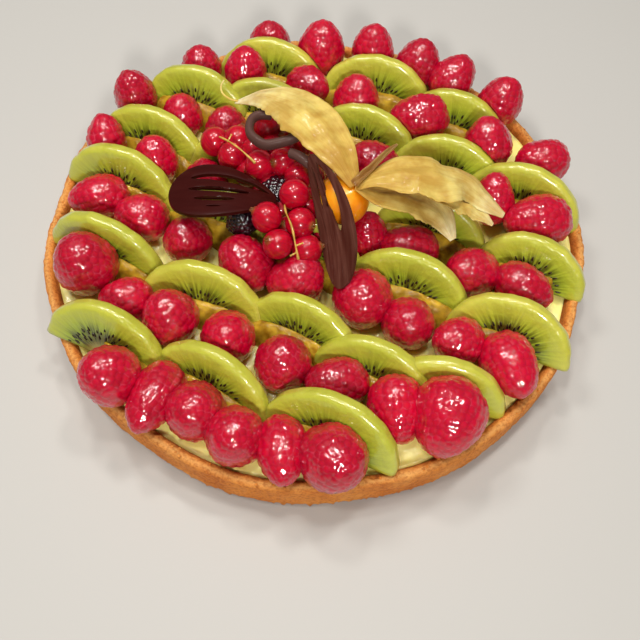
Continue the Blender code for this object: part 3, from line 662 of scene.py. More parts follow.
def custard_piece(footprints):
    """The custard, with a soft swell up to each thing that is pressed into it."""
    bottom = FLOOR_THICKNESS + CUSTARD_GAP
    edge = inner_radius(CUSTARD_LEVEL) - CUSTARD_GAP
    rings = range(CUSTARD_RINGS, -1, -1)
    top = [(edge * i / CUSTARD_RINGS, CUSTARD_LEVEL - 0.5) for i in rings]
    outline = [(0, bottom), (inner_radius(bottom) - CUSTARD_GAP, bottom), *top]
    shape = turned_body(outline, CUSTARD_STEPS)
    spots = np.array(footprints)
    for vert in shape.verts:
        x, y, z = vert.co
        angle = atan2(y, x)
        radius = hypot(x, y)
        vert.co += outward(angle, RIM_WAVE * wave(angle) * radius / edge)
        if z < CUSTARD_LEVEL - 1:
            continue
        gap = (np.hypot(spots[:, 0] - x, spots[:, 1] - y) - spots[:, 2]).min()
        swell = 1 - eased(0, 3.5, gap)
        bank = eased(edge - 2.5, edge, radius)
        vert.co.z += rippled((x, y, 0), 9, 1) * 0.5 + swell * 1.1 + bank * 0.7
    return piece("custard_bed", shape, custard_finish(), "custard", "custard")


# ---- Fruit ----


def row_point(line, along, across, height):
    point = Vector((along, line + across, height))
    point.rotate(Matrix.Rotation(ROW_TURN, 3, "Z"))
    return point


def tip_direction(turn, rise):
    turn, rise = radians(turn), radians(rise)
    return outward(turn, cos(rise)) + UP * sin(rise)


def turned(degrees, axis):
    return Matrix.Rotation(radians(degrees), 4, axis)


def raspberry_placement(row, berry):
    rise = radians(berry.rise)
    half_height = hypot(berry.length * sin(rise), berry.width * cos(rise)) / 2
    height = CUSTARD_LEVEL + BERRY_SINK * half_height + berry.lift
    middle = row_point(FRONT_ROW + row * ROW_PITCH, berry.along, berry.across, height)
    turned_to = tip_direction(berry.turn, berry.rise).to_track_quat("Z", "Y")
    return Matrix.LocRotScale(middle, turned_to, None)


def slice_placement(row, cut):
    line = FRONT_ROW + row * ROW_PITCH + SLICE_SETBACK
    middle = row_point(line, cut.along, cut.across, CUSTARD_LEVEL + cut.base)
    return (
        Matrix.Translation(middle)
        @ Matrix.Rotation(ROW_TURN + radians(cut.turn), 4, "Z")
        @ turned(-cut.lean, "X")
        @ turned(cut.tilt, "Y")
    )


def every_slice():
    """The slices of kiwi, each with the number of its row."""
    for row, groups in enumerate(KIWI_ROWS):
        for lump in groups:
            for cut in lump:
                yield row, cut


def egg(ways, width, length):
    """Points of an egg with its tip on +Z, in these directions from its middle."""
    points = ways * (width / 2, width / 2, length / 2)
    points[:, :2] *= 1 - BERRY_TAPER * ways[:, 2:]
    return points


def drupelet_ways(width, length, pitch, rng):
    """Directions of the drupelets' middles: rings round the berry from its tip to its base."""
    rings = round(pi * (width + length) / 4 / (pitch * 0.88))
    ways = []
    for ring in range(rings + 1):
        polar = pi * (ring + rng.uniform(-0.1, 0.1)) / rings
        count = max(1, round(2 * pi * sin(polar) * width / 2 / pitch))
        start = rng.uniform(0, 1)
        for i in range(count):
            angle = 2 * pi * (i + start + rng.uniform(-0.26, 0.26)) / count
            slant = polar + pi * rng.uniform(-0.24, 0.24) / rings
            level = sin(slant)
            ways.append((level * cos(angle), level * sin(angle), cos(slant)))
    return np.array(ways)


def add_berry(shape, width, length, placement, seed, pitch, depth, filled, cuts=()):
    """Adds one berry of drupelets, pressed flat against these cuts of kiwi, to a shape."""
    part = bmesh.new()
    layers = layers_of(part, "crown", "tone", "berry")
    film = part.verts.layers.float_vector.new("film")
    rng = np.random.default_rng(seed)
    made = bmesh.ops.create_icosphere(part, subdivisions=BERRY_FINENESS, radius=1)["verts"]
    ways = np.array([v.co for v in made])
    ways /= np.linalg.norm(ways, axis=1)[:, None]
    seats = drupelet_ways(width, length, pitch, rng)
    tones = rng.uniform(0, 1, len(seats))
    heights = rng.uniform(0.8, 1.15, len(seats))
    surface = egg(ways, width - depth, length - depth)
    middles = egg(seats, width - depth, length - depth)
    distance = np.linalg.norm(surface[:, None] - middles[None], axis=2)
    nearest = distance.argmin(axis=1)
    away = distance[np.arange(len(surface)), nearest] / pitch
    gap = np.sort(distance, axis=1)[:, :2] @ (-1, 1) / pitch
    dome = np.sqrt(np.clip(1 - (away / DRUPELET_REACH) ** 2, 0, 1))
    dome = np.maximum(dome, filled + 0.3 * (dome - filled))
    normals = ways / (width, width, length)
    normals /= np.linalg.norm(normals, axis=1)[:, None]
    shift = rng.uniform(-50, 50, 3)
    lumps = np.array([noise.noise(Vector(w * 1.6 + shift)) for w in ways])
    points = surface * (1 + BERRY_LUMPS * lumps[:, None])
    points += normals * ((dome * heights[nearest] - DRUPELET_MIDHEIGHT) * depth)[:, None]
    matrix = np.array(placement)
    points = points @ matrix[:3, :3].T + matrix[:3, 3]
    normals = normals @ matrix[:3, :3].T
    for cut_matrix, radius in cuts:
        points = pressed(points, np.array(placement.translation), cut_matrix, radius)
    berry_tone = rng.uniform(0, 1)
    crowns = np.clip(gap / 0.8, 0, 1)
    for vert, point, normal, crown, cell in zip(made, points, normals, crowns, nearest):
        vert.co = point
        vert[film] = normal
        vert[layers[0]] = crown
        vert[layers[1]] = tones[cell]
        vert[layers[2]] = berry_tone
    add_copy(shape, part)


def pressed(points, middle, cut_matrix, radius):
    """Moves points that lie inside a kiwi slice out to the side where the berry's middle is."""
    inverse = np.array(cut_matrix.inverted())
    local = points @ inverse[:3, :3].T + inverse[:3, 3]
    side = -1 if (inverse[:3, :3] @ middle + inverse[:3, 3])[1] < 0 else 1
    half = SLICE_THICKNESS / 2 + 0.15
    within = (
        (np.abs(local[:, 1]) < half)
        & (local[:, 2] > -1)
        & ((local[:, 0] / radius) ** 2 + (local[:, 2] / (radius * SLICE_SQUASH)) ** 2 < 1)
    )
    local[within, 1] = side * half
    matrix = np.array(cut_matrix)
    return local @ matrix[:3, :3].T + matrix[:3, 3]


def film_normal(tree, share):
    """The normal of the glaze over a berry, smoother than the drupelets under it."""
    smooth = node(tree, "Attribute", attribute_name="film").outputs["Vector"]
    own = node(tree, "NewGeometry").outputs["Normal"]
    mixed = node(tree, "Mix", {0: share, 4: own, 5: smooth}, data_type="VECTOR").outputs[1]
    return node(tree, "VectorMath", {0: mixed}, operation="NORMALIZE").outputs[0]


def raspberry_finish():
    made = finish(
        "raspberry_skin", Roughness=0.5, Specular_IOR_Level=0.1, soft=(0.5, 2.5, (1.0, 0.1, 0.12)),
        coat=(1.0, 0.02), Coat_IOR=1.6,
    )
    tree = made.tree
    coords = millimetres(tree)
    # Darker towards the creases between the drupelets: painted shade
    skin = ramp(tree, worth(tree, "crown"), (0.0, 182, 0, 44), (0.2, 192, 0, 46), (1.0, 200, 0, 50))
    tone = sum_of(tree, "MULTIPLY", worth(tree, "tone"), 0.35)
    skin = blended(tree, tone, skin, colour(146, 0, 26))
    ripe = ramp(tree, worth(tree, "berry"), (0.0, 255, 245, 245), (1.0, 220, 190, 205))
    skin = blended(tree, 0.8, skin, ripe, "MULTIPLY")
    # Pale pink lines along the drupelets' borders, in patches: painted sheen
    patches = ramp(tree, grain(tree, coords, 3, 2), (0.48, 0), (0.62, 1))
    painted_border_sheen = ramp(tree, worth(tree, "crown"), (0.0, 0.4), (0.26, 0))
    skin = blended(tree, sum_of(tree, "MULTIPLY", patches, painted_border_sheen), skin, colour(232, 84, 112))
    relief = bump(tree, grain(tree, coords, 1.1, 2), 0.08)
    wrinkled = ramp(tree, grain(tree, coords, 7, 1), (0.48, 0), (0.6, 0.5))
    wrinkles = sum_of(tree, "MULTIPLY", grain(tree, coords, 1.2, 1), wrinkled)
    film = sum_of(tree, "ADD", wrinkles, grain(tree, coords, 2.6, 1))
    film = bump(tree, film, 0.35, film_normal(tree, 0.5))
    return paint(made, Base_Color=skin, Normal=relief, Coat_Normal=film)


def raspberry_pieces(cuts):
    skin = raspberry_finish()
    pairs = {(row, i): (row, i + 1) for row, i in PRESSED_PAIRS}
    for row, line in enumerate(RASPBERRY_ROWS):
        for i, berry in enumerate(line):
            if (row, i) in pairs.values():
                continue
            name, members = f"raspberry_{row}_{i + 1}", [(i, berry)]
            if (row, i) in pairs:
                name = f"raspberries_{row}_{i + 1}_{i + 2}"
                members.append((i + 1, line[i + 1]))
            shape = bmesh.new()
            for place, each in members:
                placement = raspberry_placement(row, each)
                seed = 100 * row + place
                grain_of = dict(RASPBERRY_GRAIN, cuts=cuts)
                add_berry(shape, each.width, each.length, placement, seed, **grain_of)
            piece(f"{name}_drupelets", shape, skin, "raspberry", name)


def kiwi_finish():
    made = finish("kiwi_flesh", Roughness=0.3, soft=(0.3, 3, (0.8, 1.0, 0.25)), coat=(0.7, 0.04))
    tree = made.tree
    reach = worth(tree, "reach")
    rays = painted_grain(tree, ("turn", "reach", "cut"), (44, 1.2, 9), 2, 0.6)
    face = ramp(
        tree, reach, (0.0, 230, 222, 150), (0.2, 208, 200, 112), (0.32, 148, 158, 46),
        (0.52, 146, 166, 40), (0.64, 172, 188, 52), (0.78, 190, 196, 62), (1.0, 202, 200, 78),
    )
    comb = ramp(tree, rays, (0.42, 66, 54, 14), (0.6, 1))
    comb_at = ramp(tree, reach, (0.2, 0), (0.36, 0.85), (0.55, 0.7), (0.72, 0.16), (1.0, 0))
    face = blended(tree, comb_at, face, comb, "MULTIPLY")
    drift = painted_grain(tree, ("turn", "reach", "cut"), (5, 3, 9), 3, 0.55)
    rim = ramp(tree, drift, (0.3, 182, 180, 54), (0.7, 206, 200, 84))
    skin = blended(tree, worth(tree, "band"), face, rim)
    paler = ramp(
        tree,
        node(tree, "TexWhiteNoise", {"W": worth(tree, "cut")}, noise_dimensions="1D").outputs[0],
        (0.0, 232, 238, 220), (1.0, 255, 252, 255),
    )
    skin = blended(tree, 1.0, skin, paler, "MULTIPLY")
    dents = bump(tree, grain(tree, millimetres(tree), 3.2, 2), 0.5)
    relief = bump(tree, sum_of(tree, "MULTIPLY", rays, comb_at), 0.4, dents)
    return paint(made, Base_Color=skin, Normal=relief)


def add_slice(shape, cut, placement, seed):
    """Adds a half slice of kiwi that stands on its cut edge, with its seeded face towards -Y."""
    part = bmesh.new()
    turn, reach, band, cut_seed = layers_of(part, "turn", "reach", "band", "cut")
    half, rounding, radius = SLICE_THICKNESS / 2, SLICE_ROUNDING, cut.radius
    centre, level = radius - rounding, rounding - half
    profile = [(centre * (i / SLICE_RINGS), -half) for i in range(SLICE_RINGS + 1)]
    for a in range(15, 91, 15):
        a = radians(a)
        profile.append((radius - rounding * (1 - sin(a)), -half + rounding * (1 - cos(a))))
    back = [(r, -t) for r, t in reversed(profile)]
    profile += [(radius, level - 2 * level * i / 4) for i in range(1, 4)]
    profile += back
    spin(part, [part.verts.new((r, t, 0)) for r, t in profile], (0, -1, 0), pi, SLICE_STEPS)
    bmesh.ops.holes_fill(part, edges=[e for e in part.edges if e.is_boundary], sides=0)
    for vert in part.verts:
        x, y, z = vert.co
        from_middle = hypot(x, z)
        angle = atan2(z, x)
        vert[turn] = angle / pi
        vert[reach] = from_middle / radius
        vert[band] = eased(radius - rounding * 0.9, radius - rounding * 0.1, from_middle)
        vert[cut_seed] = seed
        flats = rippled((angle * 6, seed * 7, 0), 1.3) * 0.5
        flats += rippled((angle * 20, y * 0.4, seed), 1.1) * 0.16
        outer = eased(radius * 0.8, radius, from_middle)
        grow = 1 + (flats * outer - 0.3) / radius
        hollow = 0.25 * sin(pi * min(1, from_middle / (radius * 0.9)))
        grain_lift = rippled((x, z, seed * 11), 2.6) * 0.14 * (1 - outer)
        y = y * (1 - 0.12 * outer) + (-hollow if y > 0 else hollow) + grain_lift
        vert.co = (x * grow, y, z * grow * SLICE_SQUASH)
    part.transform(placement)
    add_copy(shape, face_out(part))


def add_seed(shape, where, way, normal, length):
    """Adds one kiwi seed that lies in the cut face and points out from the core."""
    side = normal.cross(way)
    matrix = Matrix((side, normal, way)).transposed().to_4x4()
    made = bmesh.ops.create_icosphere(shape, subdivisions=2, radius=1)["verts"]
    for vert in made:
        taper = 1 - 0.35 * vert.co.z
        vert.co = (vert.co.x * 0.4 * taper, vert.co.y * 0.34, vert.co.z * length / 2)
    bmesh.ops.transform(shape, matrix=Matrix.Translation(where) @ matrix, verts=made)


def seed_finish():
    looks = dict(Roughness=0.4, Specular_IOR_Level=0.3, coat=(0.2, 0.08))
    shades = (0.3, 18, 12, 8), (0.7, 48, 32, 18)
    return patchy_finish("kiwi_seed", 0.6, 2, *shades, **looks)


def add_seeds(shape, cut, placement, rng):
    """Adds the arc of seeds that lie in a slice's cut face."""
    part = bmesh.new()
    for k in range(SEEDS_IN_A_SLICE):
        angle = radians(4 + 172 * (k + rng.uniform(-0.3, 0.3)) / (SEEDS_IN_A_SLICE - 1))
        share = SEED_ARCS[k % 3] + rng.uniform(-0.04, 0.04)
        way = Vector((cos(angle), 0, sin(angle) * SLICE_SQUASH))
        where = way * cut.radius * share + Vector((0, -SLICE_THICKNESS / 2 + 0.25, 0))
        turned_way = placement.to_3x3() @ way.normalized()
        outward = placement.to_3x3() @ Vector((0, -1, 0))
        add_seed(part, placement @ where, turned_way, outward, rng.uniform(1.6, 2.6))
    add_copy(shape, face_out(part))


def kiwi_pieces():
    flesh = kiwi_finish()
    seeds = bmesh.new()
    rng = random.Random(5)
    for row, groups in enumerate(KIWI_ROWS):
        for n, lump in enumerate(groups, 1):
            shape = bmesh.new()
            for i, cut in enumerate(lump):
                placement = slice_placement(row, cut)
                add_slice(shape, cut, placement, row + n * 0.31 + i * 0.17)
                add_seeds(seeds, cut, placement, rng)
            piece(f"kiwi_{row}_{n}_flesh", shape, flesh, "kiwi", f"kiwi_{row}_{n}")
    piece("kiwi_seeds", seeds, seed_finish(), "kiwi")


def glaze_finish():
    made = finish(
        "amber_glaze", Roughness=0.2, soft=(0.3, 3, (1.0, 0.6, 0.15)), Specular_IOR_Level=0.12,
        coat=(0.22, 0.03),
    )
    tree = made.tree
    coords = millimetres(tree)
    shades = (0.3, 128, 90, 12), (0.7, 206, 166, 48)
    shade = ramp(tree, grain(tree, coords, 4, 3), *shades)
    return paint(made, Base_Color=shade, Coat_Normal=bump(tree, grain(tree, coords, 1.7, 2), 0.6))


def glaze_piece():
    """Glaze that has settled in front of each slice of kiwi, up against its seeded face."""
    shape = bmesh.new()
    out = Matrix.Rotation(ROW_TURN, 3, "Z") @ Vector((0, -1, 0))
    bottom = CUSTARD_LEVEL - 0.4
    for row, cut in every_slice():
        placement = slice_placement(row, cut)
        part = bmesh.new()
        bmesh.ops.create_grid(part, x_segments=56, y_segments=16, size=1)
        for vert in part.verts:
            u, v = vert.co.x, (vert.co.y + 1) / 2
            level = GLAZE_RISE * cut.radius * sqrt(max(0.0, 1 - u * u)) * SLICE_SQUASH
            on_face = Vector((0.94 * u * cut.radius, -SLICE_THICKNESS / 2 - 0.1, level))
            on_face = placement @ on_face
            ripple = rippled((u * 9, v * 3, row + cut.along), 1.2) * 0.5
            ripple += rippled((u * 30, v * 9, row), 1.3) * 0.2
            away = on_face + out * GLAZE_REACH * v
            height = bottom + max(0.0, on_face.z - bottom + ripple) * (1 - v**2.4)
            shore = GLAZE_SHORE - hypot(away.x, away.y)
            vert.co = (away.x, away.y, between(bottom - 4, height, eased(0, 5, shore)))
            if shore < 0:
                vert.co.xy *= GLAZE_SHORE / hypot(away.x, away.y)
        add_copy(shape, thickened(part, lambda vert: UP, 0.8))
    return piece("glaze_in_the_creases", shape, glaze_finish(), "kiwi")


# ---- Garnish in the middle ----


def currant_finish():
    made = finish(
        "redcurrant_skin", Roughness=0.3, Specular_IOR_Level=0.2, soft=(0.5, 3, (1.0, 0.12, 0.1)),
        coat=(0.8, 0.03),
    )
    tree = made.tree
    skin = ramp(
        tree, painted_grain(tree, ("turn", "along"), (9, 0.6, 1), 2), (0.34, 158, 0, 30),
        (0.55, 180, 2, 34), (0.75, 200, 14, 46),
    )
    skin = blended(tree, worth(tree, "withered"), skin, colour(124, 72, 30))
    return paint(made, Base_Color=skin)


def add_currant(shape, place, radius, end, seed):
    """Adds one currant with its withered blossom end towards end."""
    part = bmesh.new()
    turn, along, withered = layers_of(part, "turn", "along", "withered")
    bmesh.ops.create_uvsphere(part, u_segments=36, v_segments=24, radius=1)
    for vert in part.verts:
        x, y, z = vert.co
        vert[turn] = abs(atan2(y, x)) / pi * 2 + seed
        vert[along] = z
        tip = eased(0.93, 0.985, z)
        vert[withered] = tip
        dimple = 1 - 0.05 * eased(0.8, 0.95, z) + 0.13 * tip
        uneven = 1 + 0.03 * rippled(vert.co, 1.1, seed)
        vert.co *= radius * dimple * uneven * (1 - 0.02 * abs(z))
    matrix = Vector(end).to_track_quat("Z", "Y").to_matrix().to_4x4()
    part.transform(Matrix.Translation(place) @ matrix)
    add_copy(shape, part)
    bead = Vector(end).normalized()
    base = Vector(place) + bead * radius * 0.98
    tuft = bmesh.new()
    layers_of(tuft, "turn", "along", "withered")
    side = bead.orthogonal().normalized()
    for k in range(4):
        lean = Matrix.Rotation(k * 1.7 + seed, 3, bead) @ side
        points = [base + lean * 0.5, base + bead * 0.7 + lean * 0.7, base + bead * 1.3 + lean * 0.3]
        add_rod(tuft, points, lambda t: (0.42 * (1 - 0.6 * t), 0.3 * (1 - 0.6 * t)), 6, 6)
    for vert in tuft.verts:
        vert[tuft.verts.layers.float["withered"]] = 1.0
    add_copy(shape, tuft)


def currants_piece():
    """The redcurrants, heaped over a dark red core."""
    rng = random.Random(11)
    shape = bmesh.new()
    layers_of(shape, "turn", "along", "withered")
    core = bmesh.new()
    bmesh.ops.create_icosphere(core, subdivisions=5, radius=1)
    for vert in core.verts:
        vert.co *= HEAP_CORE_RADIUS * (1 + 0.12 * rippled(vert.co, 0.7, 3))
        vert.co = vert.co * 1.15 + HEAP_MIDDLE + Vector((0, 2, 1))
    add_copy(shape, core)
    ends = {0: (-1, 0.2, 0.5), 2: (0.9, -0.5, 0.4)}
    for i, place in enumerate(CURRANT_PLACES):
        outward = Vector(place) - HEAP_MIDDLE
        loose = Vector([rng.uniform(-1, 1) for _ in range(3)]) * 12
        end = ends.get(i, outward * 0.4 + loose)
        add_currant(shape, place, CURRANT_RADIUS * rng.uniform(0.93, 1.0), end, i * 0.37)
    for i, place in enumerate(LOW_CURRANTS):
        end = Vector([rng.uniform(-1, 1) for _ in range(3)])
        add_currant(shape, place, CURRANT_RADIUS * rng.uniform(0.85, 0.95), end, i * 0.71)
    return piece("redcurrants", shape, currant_finish(), "currant", "currants")


def stem_finish():
    looks = dict(Roughness=0.4, Subsurface_Weight=0.2, Subsurface_Scale=0.001, Coat_Weight=0.5)
    shades = (0.3, 170, 124, 40), (0.7, 212, 176, 84)
    return patchy_finish("currant_stem", 2.5, 3, *shades, **looks)


def stems_piece():
    shape = bmesh.new()
    for path in CURRANT_STEMS:
        slim = 0.36 if len(path) > 2 else 0.3

        def reach(t, slim=slim):
            return (slim * (0.8 + 0.5 * sin(9 * t) ** 2 + 0.7 * eased(0.85, 1, t)),) * 2

        add_rod(shape, path, reach)
    return piece("currant_stems", shape, stem_finish(), "currant")


def dark_berry_finish():
    made = finish("dark_berry_skin", Roughness=0.22, coat=(1.0, 0.04))
    tree = made.tree
    # Darker towards the creases between the drupelets: painted shade
    shades = (0.0, 8, 2, 6), (0.4, 22, 8, 18), (1.0, 44, 20, 34)
    return paint(made, Base_Color=ramp(tree, worth(tree, "crown"), *shades))


def dark_berry_pieces():
    skin = dark_berry_finish()
    for i, (place, width, length) in enumerate(DARK_BERRIES, 1):
        shape = bmesh.new()
        placement = Matrix.Translation(place) @ Matrix.Rotation(0.5 * i, 4, "X")
        add_berry(shape, width, length, placement, 900 + i, **DARK_BERRY_GRAIN)
        piece(f"dark_berry_{i}_drupelets", shape, skin, "dark_berry", f"dark_berry_{i}")


def physalis_finish():
    return patchy_finish(
        "physalis_skin",
        9,
        3,
        (0.3, 232, 122, 8),
        (0.55, 246, 152, 14),
        (0.75, 252, 176, 40),
        Roughness=0.28,
        soft=(0.45, 4, (1.0, 0.45, 0.1)),
        coat=(0.6, 0.12),
    )


def physalis_piece():
    shape = bmesh.new()
    bmesh.ops.create_icosphere(shape, subdivisions=6, radius=1)
    for vert in shape.verts:
        x, y, z = vert.co
        around = atan2(y, x)
        lobes = 1 + 0.006 * sin(5 * around) * (1 - z * z) + 0.01 * rippled(vert.co, 0.8)
        pole = 1 - 0.05 * eased(0.85, 1.0, abs(z))
        vert.co *= (PHYSALIS_RADIUS - 0.2) * lobes * pole
    bmesh.ops.translate(shape, vec=PHYSALIS_PLACE, verts=shape.verts)
    return piece("physalis_berry", shape, physalis_finish(), "physalis", "physalis_fruit")


def husk_finish():
    made = finish(
        "papery_husk", Roughness=0.6, Specular_IOR_Level=0.25, soft=(0.3, 1, (1.0, 0.7, 0.3)),
        coat=(0.12, 0.1),
    )
    tree = made.tree
    coords = millimetres(tree)
    veins = painted_grain(tree, ("along", "across"), (3, 5, 1), 4, 0.65)
    paper = ramp(
        tree, worth(tree, "along"), (0.0, 186, 136, 50), (0.1, 204, 172, 84), (0.5, 212, 188, 102),
        (0.8, 222, 204, 132), (1.0, 240, 226, 186),
    )
    marks = ramp(tree, veins, (0.32, 230, 206, 150), (0.55, 1))
    paper = blended(tree, 0.6, paper, marks, "MULTIPLY")
    blots = ramp(tree, grain(tree, coords, 9, 3), (0.4, 206, 178, 120), (0.62, 1))
    paper = blended(tree, 0.7, paper, blots, "MULTIPLY")
    paper = blended(tree, worth(tree, "dry"), paper, colour(120, 72, 36))
    crumple = bump(tree, grain(tree, coords, 2.6, 3), 0.2, bump(tree, veins, 0.22))
    return paint(made, Base_Color=paper, Normal=crumple)


def add_sepal(shape, middle, widths, cup, torn, seed, dry=0.0):
    """Adds a thin papery sepal: folded along its veins, and torn along one side."""
    part = bmesh.new()
    along, across, dryness = layers_of(part, "along", "across", "dry")
    bmesh.ops.create_grid(part, x_segments=110, y_segments=44, size=1)
    points = [Vector(p) for p in middle]
    halves = [(w, 0, 0) for w in widths]
    widest = max(widths)
    for vert in part.verts:
        t, share = (vert.co.x + 1) / 2, vert.co.y
        way = heading(points, t)
        side = way.cross(UP).normalized()
        normal = side.cross(way)
        half = max(0.15, flowing(halves, t).x)
        edge = abs(share) ** 4
        ragged = rippled((t * 11, share * 0.6, seed), 1.7)
        ragged += 0.4 * rippled((t * 46, share, seed), 1.6)
        tear = 0.3 if share * torn > 0 else 0.06
        grown = 1 + edge * (ragged * tear - 0.4 * tear) * eased(0.2, 0.45, t)
        fold = sin(share * 7 + 3 * rippled((t * 2, seed, 0), 1)) * 0.35 * eased(0, 0.2, t)
        crumple = rippled(flowing(points, t) + side * half * share, 8, seed) * 1.1
        ripple = rippled((t * 16, share * 3, seed), 1.5) * 0.4
        lift = cup * abs(share) ** 1.6 * half / widest + (fold + crumple + ripple) * half / widest
        vert[along], vert[across], vert[dryness] = t, share, dry
        vert.co = flowing(points, t) + side * half * share * grown + normal * lift
    thickened(part, lambda vert: heading_normal(points, vert[along]), HUSK_THICKNESS)
    add_copy(shape, part)


def husk_piece():
    shape = bmesh.new()
    layers_of(shape, "along", "across", "dry")
    for i, sepal in enumerate(SEPALS):
        add_sepal(shape, sepal.middle, sepal.widths, sepal.cup, sepal.torn, 2.3 * i + 1)
    add_sepal(shape, DRY_SEPAL, [1.7, 1.6, 1.3, 0.9, 0.4], 1.6, 0, 9.0, dry=0.7)
    add_rod(shape, HUSK_THREAD, lambda t: (0.55 * (1 - 0.5 * t), 0.25))
    return piece("physalis_sepals", shape, husk_finish(), "husk", "physalis_husk")


def chocolate_finish(name, dark, pale, roughness, grooves):
    """Chocolate from dark to pale along its brush strokes, which are grooves millimetres deep; the
    pale tops of the strokes are partly their own streaks and partly painted highlight.
    """
    sheen = dict(Specular_IOR_Level=0.12, coat=(0.08, 0.1))
    made = finish(name, Roughness=roughness, **sheen)
    tree = made.tree
    coords = millimetres(tree)
    brushed = painted_grain(tree, ("along", "across"), (0.9, 7, 1), 2)
    # Pale along the raised tops of the brush strokes: partly the strokes' own streaks, partly
    # painted highlight
    shade = ramp(tree, brushed, (0.35, *dark), (0.68, *pale))
    shade = blended(tree, grain(tree, coords, 8, 2), shade, colour(*dark))
    relief = bump(tree, brushed, grooves, bump(tree, grain(tree, coords, 1.8, 2), 0.06))
    return paint(made, Base_Color=shade, Normal=relief)


def leaf_shape(length, width, bend, sweep, taper, slots):
    """A chocolate leaf along X, narrower towards +X by its taper, swept sideways and pierced by
    curved slots."""
    shape = bmesh.new()
    along, across = layers_of(shape, "along", "across")
    edges = []
    last = -1.0
    for slot in sorted(slots, key=lambda each: each.across):
        edges += [(last, None, 0), (between(last, slot.across, 0.5), None, 0)]
        edges += [(slot.across, slot, -1), (slot.across, slot, 1)]
        last = between(slot.across, 1.0, 0.25)
    edges += [(last, None, 0), (between(last, 1.0, 0.5), None, 0), (1.0, None, 0)]
    bmesh.ops.create_grid(shape, x_segments=LEAF_STEPS, y_segments=len(edges) - 1, size=1)
    holes = []
    for face in shape.faces:
        middle = face.calc_center_median()
        _, slot, sign = edges[int((middle.y + 1) / 2 * (len(edges) - 1))]
        if slot and sign < 0 and slot.start < sin(middle.x * pi / 2) < slot.end:
            holes.append(face)
    for vert in shape.verts:
        s = sin(vert.co.x * pi / 2)
        q, slot, sign = edges[round((vert.co.y + 1) / 2 * (len(edges) - 1))]
        outline = width / 2 * sqrt(max(0.0, 1 - s * s)) * (1 - taper * s)
        y = q * outline
        if slot:
            share = (s - slot.start) / (slot.end - slot.start)
            gape = slot.width / 2 * sqrt(max(0.0, 1 - (2 * share - 1) ** 2))
            y += sign * max(gape, 0.06) * min(1.0, outline / (width / 2) * 1.6)
        vert[along], vert[across] = s, y / width
        vert.co = (s * length / 2, y + sweep * (1 - s * s), bend * (1 - s * s))
    bmesh.ops.delete(shape, geom=holes, context="FACES")
    bmesh.ops.remove_doubles(shape, verts=shape.verts, dist=0.02)
    return thickened(shape, lambda vert: UP, LEAF_THICKNESS)


def leaf_placement(place, turn, rise, roll):
    return Matrix.Translation(place) @ turned(turn, "Z") @ turned(-rise, "Y") @ turned(roll, "X")


def curl_reach(t):
    swell = sin(3 * t)
    return 1.5 + 0.3 * swell, 1.9 + 0.6 * swell


def chocolate_pieces():
    smooth, brushed, bloomed = (
        chocolate_finish(*looks)
        for looks in (
            ("dark_chocolate", (50, 9, 7), (62, 18, 14), 0.3, 0.05),
            ("brushed_chocolate", (68, 30, 22), (116, 74, 62), 0.36, 0.8),
            ("bloomed_chocolate", (78, 52, 46), (112, 84, 78), 0.4, 0.1),
        )
    )
    flat = leaf_shape(**FLAT_LEAF_SHAPE, slots=FLAT_LEAF_SLOTS)
    flat.transform(leaf_placement(**FLAT_LEAF))
    upright = leaf_shape(**UPRIGHT_LEAF_SHAPE, slots=UPRIGHT_LEAF_SLOTS)
    upright.transform(leaf_placement(**UPRIGHT_LEAF))
    curl = bmesh.new()
    add_rod(curl, CURL_PATH, curl_reach, 80, 16)
    add_rod(curl, CURL_END, lambda t: (1.9 + 0.4 * t, 2.1 - 0.4 * t), 24, 20)
    piece("chocolate_curl", curl, bloomed, "chocolate", "chocolate_upright")
    for name, shape, chocolate in (("flat", flat, smooth), ("upright", upright, brushed)):
        obj = piece(f"chocolate_{name}_leaf", shape, chocolate, "chocolate", f"chocolate_{name}")
        soft = obj.modifiers.new("soft_edges", "BEVEL")
        soft.width = 0.35 * MM
        soft.segments = 2
        soft.limit_method = "ANGLE"
        soft.angle_limit = radians(50)


# ---- Studio ----


def floor_piece():
    shape = bmesh.new()
    bmesh.ops.create_grid(shape, x_segments=1, y_segments=1, size=FLOOR_REACH)
    bmesh.ops.translate(shape, vec=(0, 0, -FLOOR_GAP), verts=shape.verts)
    pale = finish("pale_floor", Roughness=0.6, Base_Color=colour(184, 182, 178))
    obj = mesh_object("floor", shape, pale.material)


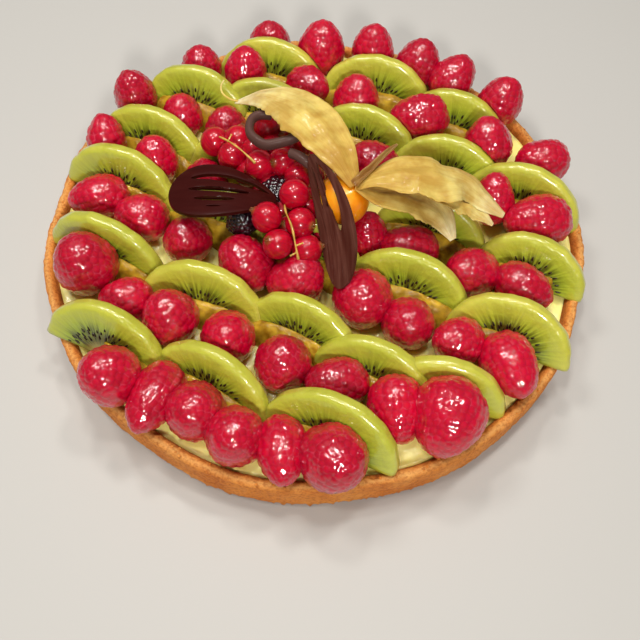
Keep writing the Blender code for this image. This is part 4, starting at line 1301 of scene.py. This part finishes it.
def lamp(name, place, size, power, shape="DISK", tint=(1.0, 0.97, 0.92)):
    """A lamp, placed in millimetres, that shines at the tart."""
    data = bpy.data.lights.new(name, "AREA")
    data.shape = shape
    data.size = size * MM
    data.energy = power
    data.color = tint
    obj = linked(name, data)
    obj.location = Vector(place) * MM
    obj.rotation_mode = "QUATERNION"
    obj.rotation_quaternion = (-Vector(place)).to_track_quat("-Z", "Y")


def studio():
    world = bpy.data.worlds.new("soft_room")
    world.use_nodes = True
    background = world.node_tree.nodes["Background"]
    background.inputs["Color"].default_value = (1.0, 0.98, 0.95, 1)
    background.inputs["Strength"].default_value = 0.12
    scene = bpy.context.scene
    scene.world = world
    scene.view_settings.view_transform = "Standard"
    lamp("big_soft_lamp", (-250, 300, 1100), 1300, 1.8, "SQUARE")
    lamp("front_fill", (150, -1000, 800), 180, 8.6)
    for i, (place, size, power) in enumerate(CEILING_LAMPS):
        lamp(f"ceiling_lamp_{i}", place, size, power)


def camera():
    """Looks down on the tart from the front, at 61 degrees above the table."""
    rise, distance, roll = radians(61.4), 329.0, radians(3.26)
    target = Vector((3.6, -31.4, 0))
    forward = Vector((0, cos(rise), -sin(rise)))
    right, upward = Vector((1, 0, 0)), Vector((0, sin(rise), cos(rise)))
    across = cos(roll) * right + sin(roll) * upward
    above = -sin(roll) * right + cos(roll) * upward
    data = bpy.data.cameras.new("camera")
    data.sensor_width = 36.0
    data.lens = 44.44
    data.clip_start = 0.01
    matrix = Matrix((across, above, -forward)).transposed().to_4x4()
    matrix.translation = (target - forward * distance) * MM
    obj = linked("camera", data)
    obj.matrix_world = matrix
    bpy.context.scene.camera = obj


def main():
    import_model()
    biscuit = shortcrust_finish()
    crust_piece(biscuit)
    crumbs_piece(biscuit)
    cuts = [(slice_placement(row, cut), cut.radius) for row, cut in every_slice()]
    footprints = []
    for row, line in enumerate(RASPBERRY_ROWS):
        for berry in line:
            middle = raspberry_placement(row, berry).translation
            footprints.append((middle.x, middle.y, berry.width * BERRY_PRINT))
    custard_piece(footprints)
    raspberry_pieces(cuts)
    kiwi_pieces()
    glaze_piece()
    currants_piece()
    stems_piece()
    dark_berry_pieces()
    physalis_piece()
    husk_piece()
    chocolate_pieces()
    floor_piece()
    studio()
    camera()


main()
